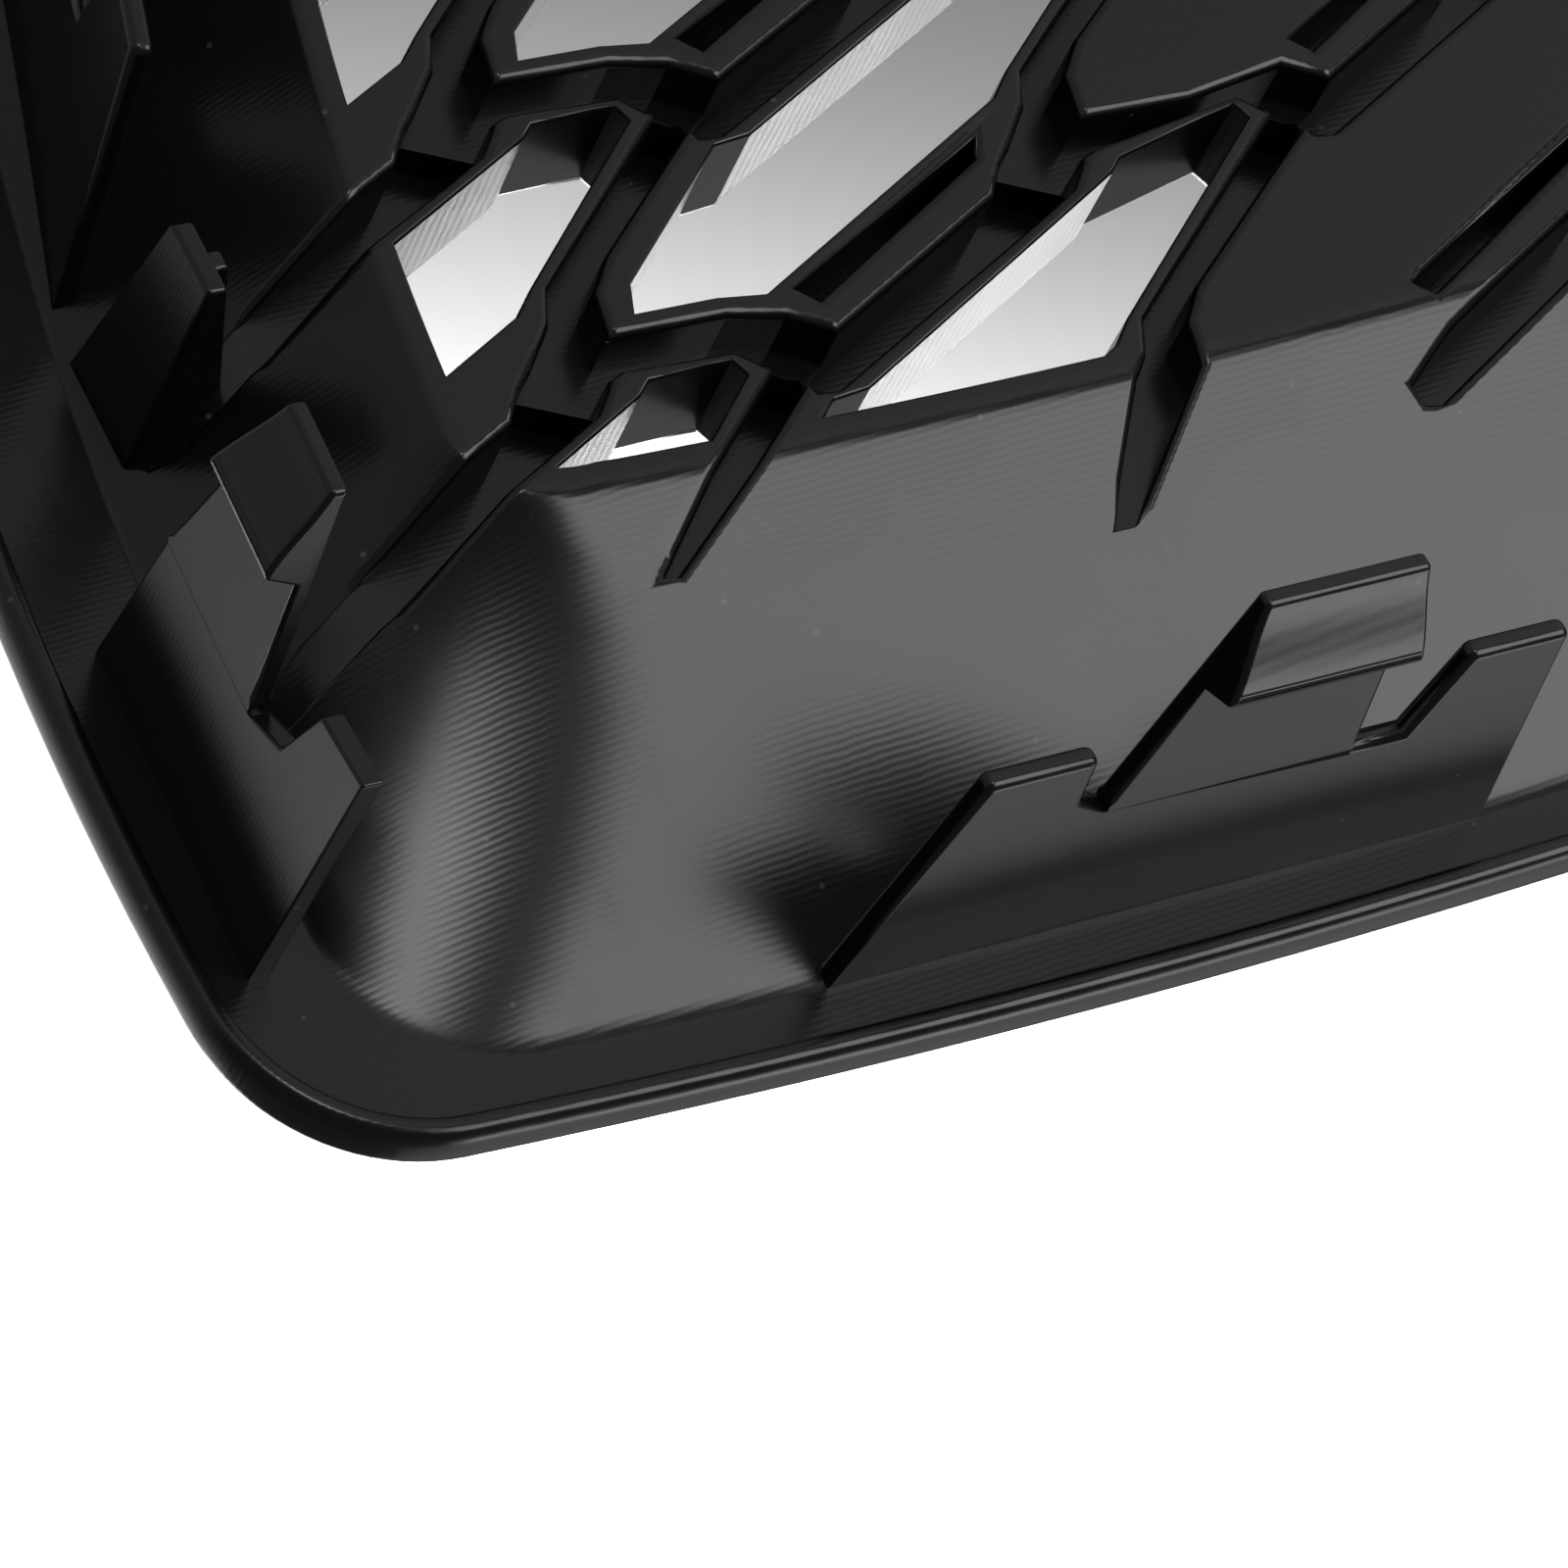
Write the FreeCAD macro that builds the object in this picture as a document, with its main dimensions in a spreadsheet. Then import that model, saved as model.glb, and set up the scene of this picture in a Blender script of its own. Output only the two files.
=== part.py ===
import FreeCAD, Part

import math
import os

# Rear-fixed front grille: one moulding with a honeycomb mesh, a sloping band around it, and
# snap stations that stand on the rim. Each snap tongue is its own piece, hinged at its foot.
# X is across, Y runs from the front face (0) to the rear, Z is up. All sizes in millimetres.

DIMENSIONS = {
    # rim outline
    "corner_half_width": 420.0,
    "outline_height": 205.0,
    "top_flat_half": 279.0,
    "top_end_radius": 1100.0,
    "side_radius": 300.0,
    "side_bulge_drop": 25.0,
    "side_tuck": 3.7,
    "top_corner_radius": 17.5,
    "bottom_corner_radius": 26.0,
    # section through the rim and band
    "rim_height": 4.5,
    "rim_width": 2.0,
    "shelf_rear": 3.0,
    "mesh_rear": 20.0,
    "mesh_front": 9.8,
    "skin": 2.2,
    "band_wall": 2.5,
    "foot_inset": 6.7,
    "foot_inset_side": 12.0,
    "mesh_inset_top": 44.4,
    "mesh_inset_side": 32.5,
    "mesh_inset_bottom": 36.0,
    "mesh_corner_radius": 8.0,
    "opening_border": 2.2,
    "channel_floor": 12.0,
    "rib_floor": 15.0,
    # snap stations
    "station_length": 62.9,
    "station_inset": 6.2,
    "plate_wall": 1.9,
    "seat_height": 17.91,
    "hinge_height": 19.2,
    "seat_radius": 1.6,
    "foot_radius": 1.55,
    "tongue_start": 18.7,
    "tongue_end": 41.8,
    "tongue_top": 45.0,
    "tongue_top_start": 21.8,
    "tongue_top_end": 36.9,
    "tongue_top_wall": 1.4,
    "barb_under": 34.1,
    "barb_tip": 35.7,
    "barb_reach": 3.2,
    "barb_top_reach": 0.1,
    "short_drop": 1.2,
    # badge, sleeves and pads
    "badge_width": 118.0,
    "badge_tall": 58.0,
    "badge_wall": 3.3,
    "stud_radius": 1.9,
    "stud_length": 9.0,
    "stud_span": 84.0,
    "push_nut_radius": 5.0,
    "push_nut_wall": 0.8,
    "tab_half_span": 134.0,
    "tab_height": 26.0,
    "sleeve_bore": 3.2,
    "sleeve_radius": 4.5,
    "pad_wall": 2.5,
}

doc = FreeCAD.newDocument("front_grille")
sheet = doc.addObject("Spreadsheet::Sheet", "dims")
for row, (alias, number) in enumerate(DIMENSIONS.items(), start=1):
    sheet.set("A%d" % row, alias)
    sheet.set("B%d" % row, str(number))
    sheet.setAlias("B%d" % row, alias)
doc.recompute()


def dim(alias):
    return float(sheet.get(alias))


def at(x, y, z):
    return FreeCAD.Vector(x, y, z)


HALF_WIDTH = dim("corner_half_width")
HEIGHT = dim("outline_height")
REAR = dim("mesh_rear")
SHELF = dim("shelf_rear")
PLATE = dim("plate_wall")
STATION = dim("station_length")
SIDE_LEVEL = HEIGHT - dim("side_bulge_drop")
SIDE_REACH = HALF_WIDTH - dim("side_tuck")
DEPTH = SHELF + dim("tongue_top")
# the file's origin is the middle of the bottom of the whole part
HOME = FreeCAD.Placement(at(0, -DEPTH / 2, 0), FreeCAD.Rotation())
MIRROR = FreeCAD.Vector(1, 0, 0)


# ---------------------------------------------------------------- rim outline

def tangent_centre(first, first_radius, second, second_radius):
    """Point at given distances from two centres, on the left of the way from first to second."""
    gap = math.hypot(second[0] - first[0], second[1] - first[1])
    along = (first_radius**2 - second_radius**2 + gap**2) / (2 * gap)
    off = math.sqrt(first_radius**2 - along**2)
    ux = (second[0] - first[0]) / gap
    uz = (second[1] - first[1]) / gap
    return first[0] + ux * along - uz * off, first[1] + uz * along + ux * off


def towards(centre, through, radius):
    reach = math.hypot(through[0] - centre[0], through[1] - centre[1])
    return (centre[0] + (through[0] - centre[0]) * radius / reach,
            centre[1] + (through[1] - centre[1]) * radius / reach)


def outline(y, top, side, bottom, corner, low_corner):
    """Closed wire of the rim shape at depth y, moved inwards by the three insets."""
    crown = (-dim("top_flat_half"), HEIGHT - dim("top_end_radius"))
    crown_radius = dim("top_end_radius") - top
    flank = (dim("side_radius") - SIDE_REACH, SIDE_LEVEL)
    flank_radius = dim("side_radius") - side
    upper = tangent_centre(crown, crown_radius - corner, flank, flank_radius - corner)
    drop = SIDE_LEVEL - bottom - low_corner
    lower = (flank[0] - math.sqrt((flank_radius - low_corner)**2 - drop**2), bottom + low_corner)
    flat_end = (crown[0], HEIGHT - top)
    top_end = towards(crown, upper, crown_radius)
    side_top = towards(flank, upper, flank_radius)
    side_foot = towards(flank, lower, flank_radius)
    bottom_end = (lower[0], bottom)
    arcs = []
    for start, centre, radius, end in ((flat_end, crown, crown_radius, top_end),
                                       (top_end, upper, corner, side_top),
                                       (side_top, flank, flank_radius, side_foot),
                                       (side_foot, lower, low_corner, bottom_end)):
        middle = towards(centre, ((start[0] + end[0]) / 2, (start[1] + end[1]) / 2), radius)
        arcs.append((start, middle, end))
    left = [Part.Arc(*[at(px, y, pz) for px, pz in arc]).toShape() for arc in arcs]
    right = [Part.Arc(*[at(-px, y, pz) for px, pz in reversed(arc)]).toShape()
             for arc in reversed(arcs)]
    floor = Part.makeLine(at(bottom_end[0], y, bottom), at(-bottom_end[0], y, bottom))
    roof = Part.makeLine(at(-flat_end[0], y, flat_end[1]), at(flat_end[0], y, flat_end[1]))
    return Part.Wire(left + [floor] + right + [roof])


def rim_block(inset, start, end):
    corner = dim("top_corner_radius") - inset
    low = dim("bottom_corner_radius") - inset
    wire = outline(start, inset, inset, inset, corner, low)
    return Part.Face(wire).extrude(at(0, end - start, 0))


def band_insets(depth):
    """Insets of the band's rear face at a depth, by straight slope from foot to mesh."""
    share = (depth - SHELF) / (REAR - SHELF)
    foot = dim("foot_inset")
    foot_side = dim("foot_inset_side")
    return (foot + share * (dim("mesh_inset_top") - foot),
            foot_side + share * (dim("mesh_inset_side") - foot_side),
            foot + share * (dim("mesh_inset_bottom") - foot))


def band_wire(depth, thinner):
    """Wire on the band's rear face, or on its front face where thinner is the wall."""
    insets = band_insets(depth)
    slopes = [b - a for a, b in zip(band_insets(SHELF), band_insets(REAR))]
    step = [thinner * math.hypot(REAR - SHELF, run) / (REAR - SHELF) for run in slopes]
    share = (depth - SHELF) / (REAR - SHELF)
    corner = 14.0 + share * (dim("mesh_corner_radius") - 14.0)
    low = 20.0 + share * (dim("mesh_corner_radius") + 4.0 - 20.0)
    moved = [a + b for a, b in zip(insets, step)]
    return outline(depth, moved[0], moved[1], moved[2], corner, low)


def band_block(start, end, thinner):
    return Part.makeLoft([band_wire(start, thinner), band_wire(end, thinner)], True, True)


# ---------------------------------------------------------------- honeycomb

ROW = (-0.1, 25.3)              # step from one cell to the next, away from the top edge
SHORT_RIB = (19.4, -1.9)        # level rib in the outer column
LONG_RIB = (24.4, 1.1)          # level rib in the columns nearer the centre
DIAGONAL = (30.2, 16.5)         # wide diagonal bar
LATTICE_TILT = math.radians(7.0)
FIRST_NODE = (55.9 - HALF_WIDTH, HEIGHT - 60.4)
COLUMNS = range(-2, 9)
ROWS = range(-9, 9)


def node(row, column, end):
    """A mesh node in lattice axes: end 0 is the left end of a level rib, 1 the right end."""
    rib = LONG_RIB if column > 0 else SHORT_RIB
    across = column * (SHORT_RIB[0] + DIAGONAL[0]) + max(column - 1, 0) * (LONG_RIB[0] - SHORT_RIB[0])
    inward = column * (SHORT_RIB[1] + DIAGONAL[1]) + max(column - 1, 0) * (LONG_RIB[1] - SHORT_RIB[1])
    return (across + row * ROW[0] + end * rib[0], inward + row * ROW[1] + end * rib[1])


# each corner is (row step, column step, rib end, offset across, offset inward) from a node
OPENING = ((0, 0, 0, 2.8, 2.4), (0, 0, 0, 10.2, 2.8), (0, 0, 1, -4.7, 4.4), (0, 1, 0, -7.2, 3.6),
           (0, 1, 0, -5.0, 6.0), (1, 1, 1, -9.6, -2.9), (1, 1, 1, -10.4, -1.4),
           (1, 1, 0, 1.4, -4.0), (1, 1, 0, 0.1, -5.3), (1, 0, 1, 0.2, -5.8),
           (1, 0, 1, -3.3, -6.4), (0, 0, 0, 3.6, 5.2))
WIDE_CHANNEL = ((0, 0, 1, -4.9, -3.9), (0, 0, 1, -4.2, -5.2), (0, 0, 1, -2.4, -5.4),
                (0, 1, 0, -4.1, -6.4), (0, 1, 0, -2.0, -3.8), (0, 1, 0, -7.7, -1.3),
                (0, 1, 0, -9.4, -3.1), (0, 1, 0, -11.3, -6.0), (0, 0, 1, 0.0, 0.0))
SLOT = ((0, 0, 1, -2.0, 4.4), (0, 0, 1, -0.5, 3.1), (0, 1, 0, -11.4, -2.0), (0, 1, 0, -10.4, 0.1))
LEVEL_RIB = ((0, 0, 0, -3.2, -3.9), (0, 0, 0, -0.4, -2.6), (0, 0, 1, -9.6, -0.4),
             (0, 0, 1, -6.8, -2.9), (0, 0, 1, -4.9, -3.9), (0, 0, 1, 0.0, 0.0),
             (0, 0, 1, -3.9, 2.1), (0, 0, 0, 10.5, 1.0), (0, 0, 0, -0.3, 0.5))
STEEP_RIB = ((0, 0, 0, -2.0, -3.8), (0, 0, 0, -0.3, 0.5), (0, 0, 0, 0.2, 5.0), (0, 0, 0, 2.7, 8.3),
             (1, 0, 1, -4.7, -4.2), (1, 0, 1, -7.1, -2.9), (0, 0, 0, -3.4, 5.8),
             (0, 0, 0, -4.6, 2.5), (0, 0, 0, -7.7, -1.3), (0, 0, 0, -9.4, -3.1))


def corners(pattern, row, column):
    points = []
    for row_step, column_step, end, across, inward in pattern:
        base = node(row + row_step, column + column_step, end)
        u = base[0] + across
        v = base[1] + inward
        points.append((FIRST_NODE[0] + u * math.cos(LATTICE_TILT) + v * math.sin(LATTICE_TILT),
                       FIRST_NODE[1] + u * math.sin(LATTICE_TILT) - v * math.cos(LATTICE_TILT)))
    return points


def prism(points, start, end):
    ring = [at(px, start, pz) for px, pz in points]
    return Part.Face(Part.makePolygon(ring + ring[:1])).extrude(at(0, end - start, 0))


def centre_of(points):
    return (sum(px for px, pz in points) / len(points), sum(pz for px, pz in points) / len(points))


def depth_inside(point):
    """How far a point lies inside the mesh area, measured from its top, side and bottom."""
    flank = (dim("side_radius") - SIDE_REACH, SIDE_LEVEL)
    away = math.hypot(point[0] - flank[0], point[1] - flank[1])
    sag = max(-dim("top_flat_half") - point[0], 0.0)**2 / (2 * dim("top_end_radius"))
    return min(HEIGHT - sag - dim("mesh_inset_top") - point[1],
               dim("side_radius") - dim("mesh_inset_side") - away,
               point[1] - dim("mesh_inset_bottom"))


TIP_REACH_OUTER = (-8.3, 6.0)     # from the mesh edge to the tip, in the outer column
TIP_REACH = (-8.8, 10.2)          # the same in the other columns
TIP_SHARE = 0.16                  # half the tip's width over the groove's width at the mesh edge


def with_tip(groove, column):
    """Steep groove at the top edge: beyond the mesh it narrows to a tip that runs down the band."""
    if groove[0][1] <= HEIGHT - dim("mesh_inset_top") - 8.0:
        return groove
    kept = []
    ends = {}
    for here, there in zip(groove, groove[1:] + groove[:1]):
        depth = depth_inside(here) + 0.4
        next_depth = depth_inside(there) + 0.4
        if depth >= 0:
            kept.append(here)
        if depth * next_depth < 0:
            share = depth / (depth - next_depth)
            kept.append(tuple(here[k] + (there[k] - here[k]) * share for k in (0, 1)))
            ends["leaving" if depth > 0 else "entering"] = len(kept)
    if len(ends) != 2:
        return groove
    leaving = kept[ends["leaving"] - 1]
    entering = kept[ends["entering"] - 1]
    reach = TIP_REACH_OUTER if column == 0 else TIP_REACH
    middle = [(leaving[k] + entering[k]) / 2 + reach[k] for k in (0, 1)]
    half = [(leaving[k] - entering[k]) * TIP_SHARE for k in (0, 1)]
    tip = [(middle[0] + half[0], middle[1] + half[1]), (middle[0] - half[0], middle[1] - half[1])]
    return kept[:ends["leaving"]] + tip + kept[ends["leaving"]:]


def is_blank(row, column):
    """Cells behind the upper bumper and around the badge are closed by a flat plate."""
    place = centre_of(corners(OPENING, row, column))
    return column > 0 and (place[1] > HEIGHT - 92.0 or place[0] > -95.0)


def both_sides(shape):
    return [shape, shape.mirror(at(0, 0, 0), MIRROR)]


CENTRE_WEB = 1.5
PANEL_HALF_WIDTH = 70.0
PANEL_HALF_TALL = 38.0
PANEL_LEVEL = 96.0


def panel(grow, start, end):
    """Rounded panel that carries the badge, grown outwards by a wall."""
    half_x = PANEL_HALF_WIDTH + grow
    half_z = PANEL_HALF_TALL + grow
    block = Part.makeBox(2 * half_x, end - start, 2 * half_z, at(-half_x, start, PANEL_LEVEL - half_z))
    upright = [edge for edge in block.Edges if abs(edge.tangentAt(edge.FirstParameter).y) > 0.99]
    return block.makeFillet(12.0 + grow, upright)


def mesh_tools():
    """Prisms that cut the mesh: front pockets, through openings and rear channels."""
    pockets = []
    through = []
    channels = []
    for column in COLUMNS:
        for row in ROWS:
            cell = corners(OPENING, row, column)
            if depth_inside(centre_of(cell)) > -22.0 and centre_of(cell)[0] < 12.0:
                pockets.append(prism(cell, -5.0, REAR - dim("skin")))
                if not is_blank(row, column):
                    through.append(prism(cell, 0.0, REAR + 5.0))
            for pattern, floor, reach in ((WIDE_CHANNEL, dim("channel_floor"), -2.5),
                                          (SLOT, dim("channel_floor"), -2.5),
                                          (LEVEL_RIB, dim("rib_floor"), 0.0)):
                groove = corners(pattern, row, column)
                if depth_inside(centre_of(groove)) > reach and centre_of(groove)[0] < 25.0:
                    channels.append(prism(groove, floor, REAR + 5.0))
            groove = corners(STEEP_RIB, row, column)
            head = min(depth_inside(groove[5]), depth_inside(centre_of(groove)) + 16.0)
            if head > 1.0 and centre_of(groove)[0] < 25.0:
                channels.append(prism(with_tip(groove, column), dim("rib_floor"), REAR + 5.0))
    return pockets, through, channels


def half_only(tools):
    """Keep what lies left of the centre web, then add its mirror image."""
    side = Part.makeBox(HALF_WIDTH, 60.0, HEIGHT, at(-HALF_WIDTH - CENTRE_WEB, -10.0, 0))
    kept = tools[0].fuse(tools[1:]).common(side)
    return Part.makeCompound(both_sides(kept))


def frame_shell():
    rim = rim_block(0.0, 0.0, dim("rim_height")).cut(rim_block(dim("rim_width"), SHELF, REAR))
    rear = band_block(0.0, REAR, 0.0)
    front = band_block(-4.0, REAR - dim("skin"), dim("band_wall"))
    return rim.fuse(rear), front


def bar_slab(front):
    """Solid slab that fills the band's hollow from the front of the bars to the rear."""
    start = dim("mesh_front") + dim("band_wall") + 0.2
    slab = Part.Face(band_wire(start, 0.0)).extrude(at(0, REAR - start, 0))
    lower = Part.Face(outline(dim("mesh_front"), *band_insets(start), 11.0, 15.0))
    slab = slab.fuse(lower.extrude(at(0, start - dim("mesh_front"), 0)))
    return slab.common(front)


# ---------------------------------------------------------------- snap stations

def station_places():
    """Every snap station: name, kind, base point (x, z) and turn about Y in degrees."""
    places = []
    level = HEIGHT - dim("station_inset")
    end_x = 53.1 - HALF_WIDTH
    end_z = HEIGHT - 6.8 - 3.0
    tilt = 3.1
    far_x = -end_x - STATION * math.cos(math.radians(tilt))
    far_z = end_z + STATION * math.sin(math.radians(tilt))
    places.append(("snap_tongue_top_1", "long", end_x, end_z, -tilt))
    for number, middle in enumerate((-201.0, -67.0, 67.0, 201.0), start=2):
        places.append(("snap_tongue_top_%d" % number, "long", middle - STATION / 2, level, 0.0))
    places.append(("snap_tongue_top_6", "long", far_x, far_z, tilt))
    for number, middle in enumerate((-240.0, -80.0, 0.0, 80.0, 240.0), start=1):
        places.append(("snap_tongue_bottom_%d" % number, "long", middle + STATION / 2,
                       dim("station_inset"), 180.0))
    places.append(("snap_tongue_side_upper_left", "short", 11.6 - HALF_WIDTH, HEIGHT - 55.7, -94.7))
    places.append(("snap_tongue_side_lower_left", "flank", 42.5 - HALF_WIDTH, HEIGHT - 145.0, -108.4))
    return places


LONG_PLATE = ((0.0, -1.5), (0.0, 0.0), (4.6, 26.5), (14.7, 26.5), (15.5, 20.4), (18.4, 17.91),
              (46.9, 17.91), (48.8, 28.2), (58.3, 28.2), (62.9, 0.0), (62.9, -1.5))
SHORT_PLATE = ((0.0, -1.5), (0.0, 0.0), (2.3, 17.91), (18.5, 17.91), (23.0, 20.3), (25.4, 28.0),
               (32.4, 29.2), (30.6, 0.0), (30.6, -1.5))
GUIDE_FACE = ((0.0, -1.5), (0.0, 0.0), (4.9, 25.0), (12.0, 25.5), (11.4, 0.0), (11.4, -1.5))
GUIDE_WEB = ((-1.5, 0.5), (24.0, 0.5), (24.0, 3.5), (2.0, 9.0), (-1.5, 9.0))
SHORT_TONGUE = {"start": 2.5, "top_start": 8.3, "end": 18.1, "top_end": 16.6}


def station_frame(base_x, base_z, turn):
    return FreeCAD.Placement(at(base_x, SHELF, base_z), FreeCAD.Rotation(at(0, 1, 0), turn))


def station_plate(kind, frame):
    """Upright plate with its lugs and the round seat under the tongue."""
    ring = [at(s, up, -PLATE) for s, up in (SHORT_PLATE if kind == "short" else LONG_PLATE)]
    plate = Part.Face(Part.makePolygon(ring + ring[:1])).extrude(at(0, 0, PLATE))
    start = SHORT_TONGUE["start"] - 0.4 if kind == "short" else dim("tongue_start") - 0.2
    end = SHORT_TONGUE["end"] + 0.2 if kind == "short" else dim("tongue_end") + 0.2
    seat = Part.makeCylinder(dim("seat_radius"), end - start,
                             at(start, dim("hinge_height"), -PLATE / 2), at(1, 0, 0))
    plate = plate.cut(seat)
    plate.Placement = frame
    return plate


def locating_rib():
    """Leaning guide rib with a web behind it, between the two side stations."""
    ring = [at(s, up, -PLATE) for s, up in GUIDE_FACE]
    face = Part.Face(Part.makePolygon(ring + ring[:1])).extrude(at(0, 0, PLATE))
    ring = [at(7.2, up, -deep) for up, deep in GUIDE_WEB]
    web = Part.Face(Part.makePolygon(ring + ring[:1])).extrude(at(1.8, 0, 0))
    rib = face.fuse(web)
    rib.Placement = station_frame(21.7 - HALF_WIDTH, HEIGHT - 80.6, -95.0)
    return rib


def screw_tab(level, turn, middle):
    """Upright web with a flat pad over the band, holed for a screw along Y."""
    up = dim("tab_height")
    wall = Part.makeBox(26.0, up + 1.5, PLATE, at(-13.0, -1.5, -PLATE))
    pad = Part.makeBox(26.0, 2.4, 20.0, at(-13.0, up - 2.4, -20.0))
    cheeks = [Part.Face(Part.makePolygon([at(x, -1.0, -1.0), at(x, up - 1.0, -1.0), at(x, up - 1.0, -19.0),
                                          at(x, 4.0, -8.0), at(x, -1.0, -1.0)])).extrude(at(1.8, 0, 0))
              for x in (-13.0, 11.2)]
    tab = wall.multiFuse([pad] + cheeks)
    bore = Part.makeCylinder(dim("sleeve_radius") + 0.02, 10.0, at(0, up - 6.0, -11.0), at(0, 1, 0))
    tab = tab.cut(bore)
    tab.Placement = station_frame(middle, level, turn)
    return tab


def stud_places():
    reach = dim("stud_span") / 2
    return [(sx * reach, PANEL_LEVEL + sz * 18.0) for sx in (-1, 1) for sz in (-1, 1)]


def tab_places():
    level = dim("station_inset")
    reach = dim("tab_half_span")
    return [(sign * reach, base, turn) for base, turn in ((HEIGHT - level, 0.0), (level, 180.0))
            for sign in (-1, 1)]


def sleeve_centre(tab):
    base_x, level, turn = tab
    return base_x, level - 11.0 * math.cos(math.radians(turn))


def grille_moulding():
    body, front = frame_shell()
    pockets, through, channels = mesh_tools()
    border = [inset + dim("opening_border") for inset in band_insets(REAR)]
    mesh_area = Part.Face(outline(-8.0, *border, 7.0, 11.0)).extrude(at(0, REAR + 20.0, 0))
    keep_clear = panel(2.2, -20.0, 40.0)
    bars = bar_slab(front).cut(half_only(pockets))
    body = body.cut(front.cut(bars))
    body = body.cut(half_only(through).common(mesh_area).cut(keep_clear))
    body = body.cut(half_only(channels).cut(keep_clear))
    front_level = dim("mesh_front")
    body = body.fuse(panel(2.2, front_level, REAR))
    body = body.cut(panel(0.0, front_level + dim("skin"), REAR + 5.0))
    holes = [Part.makeCylinder(dim("stud_radius") + 0.15, 20.0, at(px, 5.0, pz), at(0, 1, 0))
             for px, pz in stud_places()]
    body = body.cut(Part.makeCompound(holes))
    added = [screw_tab(base, turn, middle) for middle, base, turn in tab_places()]
    for name, kind, base_x, base_z, turn in station_places():
        plate = station_plate(kind, station_frame(base_x, base_z, turn))
        added += both_sides(plate) if "side" in name else [plate]
    added += both_sides(locating_rib())
    return body.multiFuse(added).removeSplitter()


# ---------------------------------------------------------------- sub-parts

def bound(kind, name, sizes):
    """A primitive whose properties follow the sheet."""
    thing = doc.addObject("Part::" + kind, name)
    for prop, formula in sizes.items():
        thing.setExpression(prop, str(formula))
    return thing


def wedge(name, low, high, start, top_start, end, top_end, near, top_near, far, top_far):
    return bound("Wedge", name, {
        "Ymin": low, "Ymax": high, "Xmin": start, "X2min": top_start, "Xmax": end,
        "X2max": top_end, "Zmin": near, "Z2min": top_near, "Zmax": far, "Z2max": top_far})


def snap_tongue(name, kind, frame, mirrored):
    """Blade with a barb on its outer face and a round foot that rocks in the seat."""
    sign = -1 if mirrored else 1
    if kind == "short":
        edge = [str(sign * SHORT_TONGUE[key]) for key in ("start", "top_start", "end", "top_end")]
    else:
        edge = ["dims.tongue_start", "dims.tongue_top_start", "dims.tongue_end", "dims.tongue_top_end"]
    if mirrored and kind != "short":
        edge = ["-" + item for item in edge]
    if mirrored:
        edge = [edge[2], edge[3], edge[0], edge[1]]
    drop = " - dims.short_drop" if kind == "short" else ""
    under, tip, peak = ["dims." + level + drop for level in ("barb_under", "barb_tip", "tongue_top")]

    def edge_at(side, level):
        low, top = edge[2 * side], edge[2 * side + 1]
        share = "(%s - dims.hinge_height) / (%s - dims.hinge_height)" % (level, peak)
        return "%s + (%s - (%s)) * %s" % (low, top, low, share)

    def slice_between(tag, low, high, near, top_near, far, top_far):
        return wedge(name + tag, low, high, edge_at(0, low), edge_at(0, high), edge_at(1, low),
                     edge_at(1, high), near, top_near, far, top_far)

    blade = slice_between("_blade", "dims.hinge_height", peak, "-dims.plate_wall",
                          "-dims.tongue_top_wall", "0", "0")
    barb_low = slice_between("_barb_low", under, tip, "-1", "-1", "0", "dims.barb_reach")
    barb_high = slice_between("_barb_high", tip, peak, "-1", "-1", "dims.barb_reach",
                              "dims.barb_top_reach")
    roller = bound("Cylinder", name + "_roller", {
        "Radius": "dims.foot_radius", "Height": "%s - (%s)" % (edge[2], edge[0])})
    roller.Placement = FreeCAD.Placement(at(0, 0, 0), FreeCAD.Rotation(at(0, 1, 0), 90))
    roller.setExpression("Placement.Base.x", edge[0])
    roller.setExpression("Placement.Base.y", "dims.hinge_height")
    roller.setExpression("Placement.Base.z", "-dims.plate_wall / 2")
    limit = slice_between("_limit", "dims.hinge_height - 3", "dims.hinge_height + 1",
                          "-dims.plate_wall", "-dims.plate_wall", "0", "0")
    foot = doc.addObject("Part::MultiCommon", name + "_foot")
    foot.Shapes = [roller, limit]
    tongue = doc.addObject("Part::MultiFuse", name)
    tongue.Shapes = [blade, barb_low, barb_high, foot]
    tongue.Refine = True
    tongue.Placement = HOME.multiply(frame)
    return tongue


def group(name, parts):
    joined = doc.addObject("Part::Compound", name)
    joined.Links = parts
    joined.Placement = HOME
    return joined


def ring_piece(name, outer, bore, height, place):
    """Round washer or sleeve along Y: outer radius, bore radius and length."""
    disc = bound("Cylinder", name + "_disc", {"Radius": outer, "Height": height})
    hole = bound("Cylinder", name + "_hole", {"Radius": bore, "Height": height + " + 2"})
    hole.Placement.Base = at(0, 0, -1)
    ring = doc.addObject("Part::Cut", name)
    ring.Base = disc
    ring.Tool = hole
    ring.Placement = FreeCAD.Placement(place, FreeCAD.Rotation(at(1, 0, 0), -90))
    return ring


def badge_plate():
    front_level = dim("mesh_front")
    plate = bound("Box", "badge_blank", {
        "Length": "dims.badge_width", "Width": "dims.badge_wall", "Height": "dims.badge_tall"})
    plate.Placement.Base = at(-dim("badge_width") / 2, front_level - dim("badge_wall"),
                              PANEL_LEVEL - dim("badge_tall") / 2)
    studs = []
    for number, (px, pz) in enumerate(stud_places(), start=1):
        stud = bound("Cylinder", "badge_stud_%d" % number, {
            "Radius": "dims.stud_radius", "Height": "dims.stud_length + 1"})
        stud.Placement = FreeCAD.Placement(at(px, front_level - 1.0, pz),
                                           FreeCAD.Rotation(at(1, 0, 0), -90))
        studs.append(stud)
    badge = doc.addObject("Part::MultiFuse", "badge_plate")
    badge.Shapes = [plate] + studs
    badge.Placement = HOME
    return badge


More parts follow.
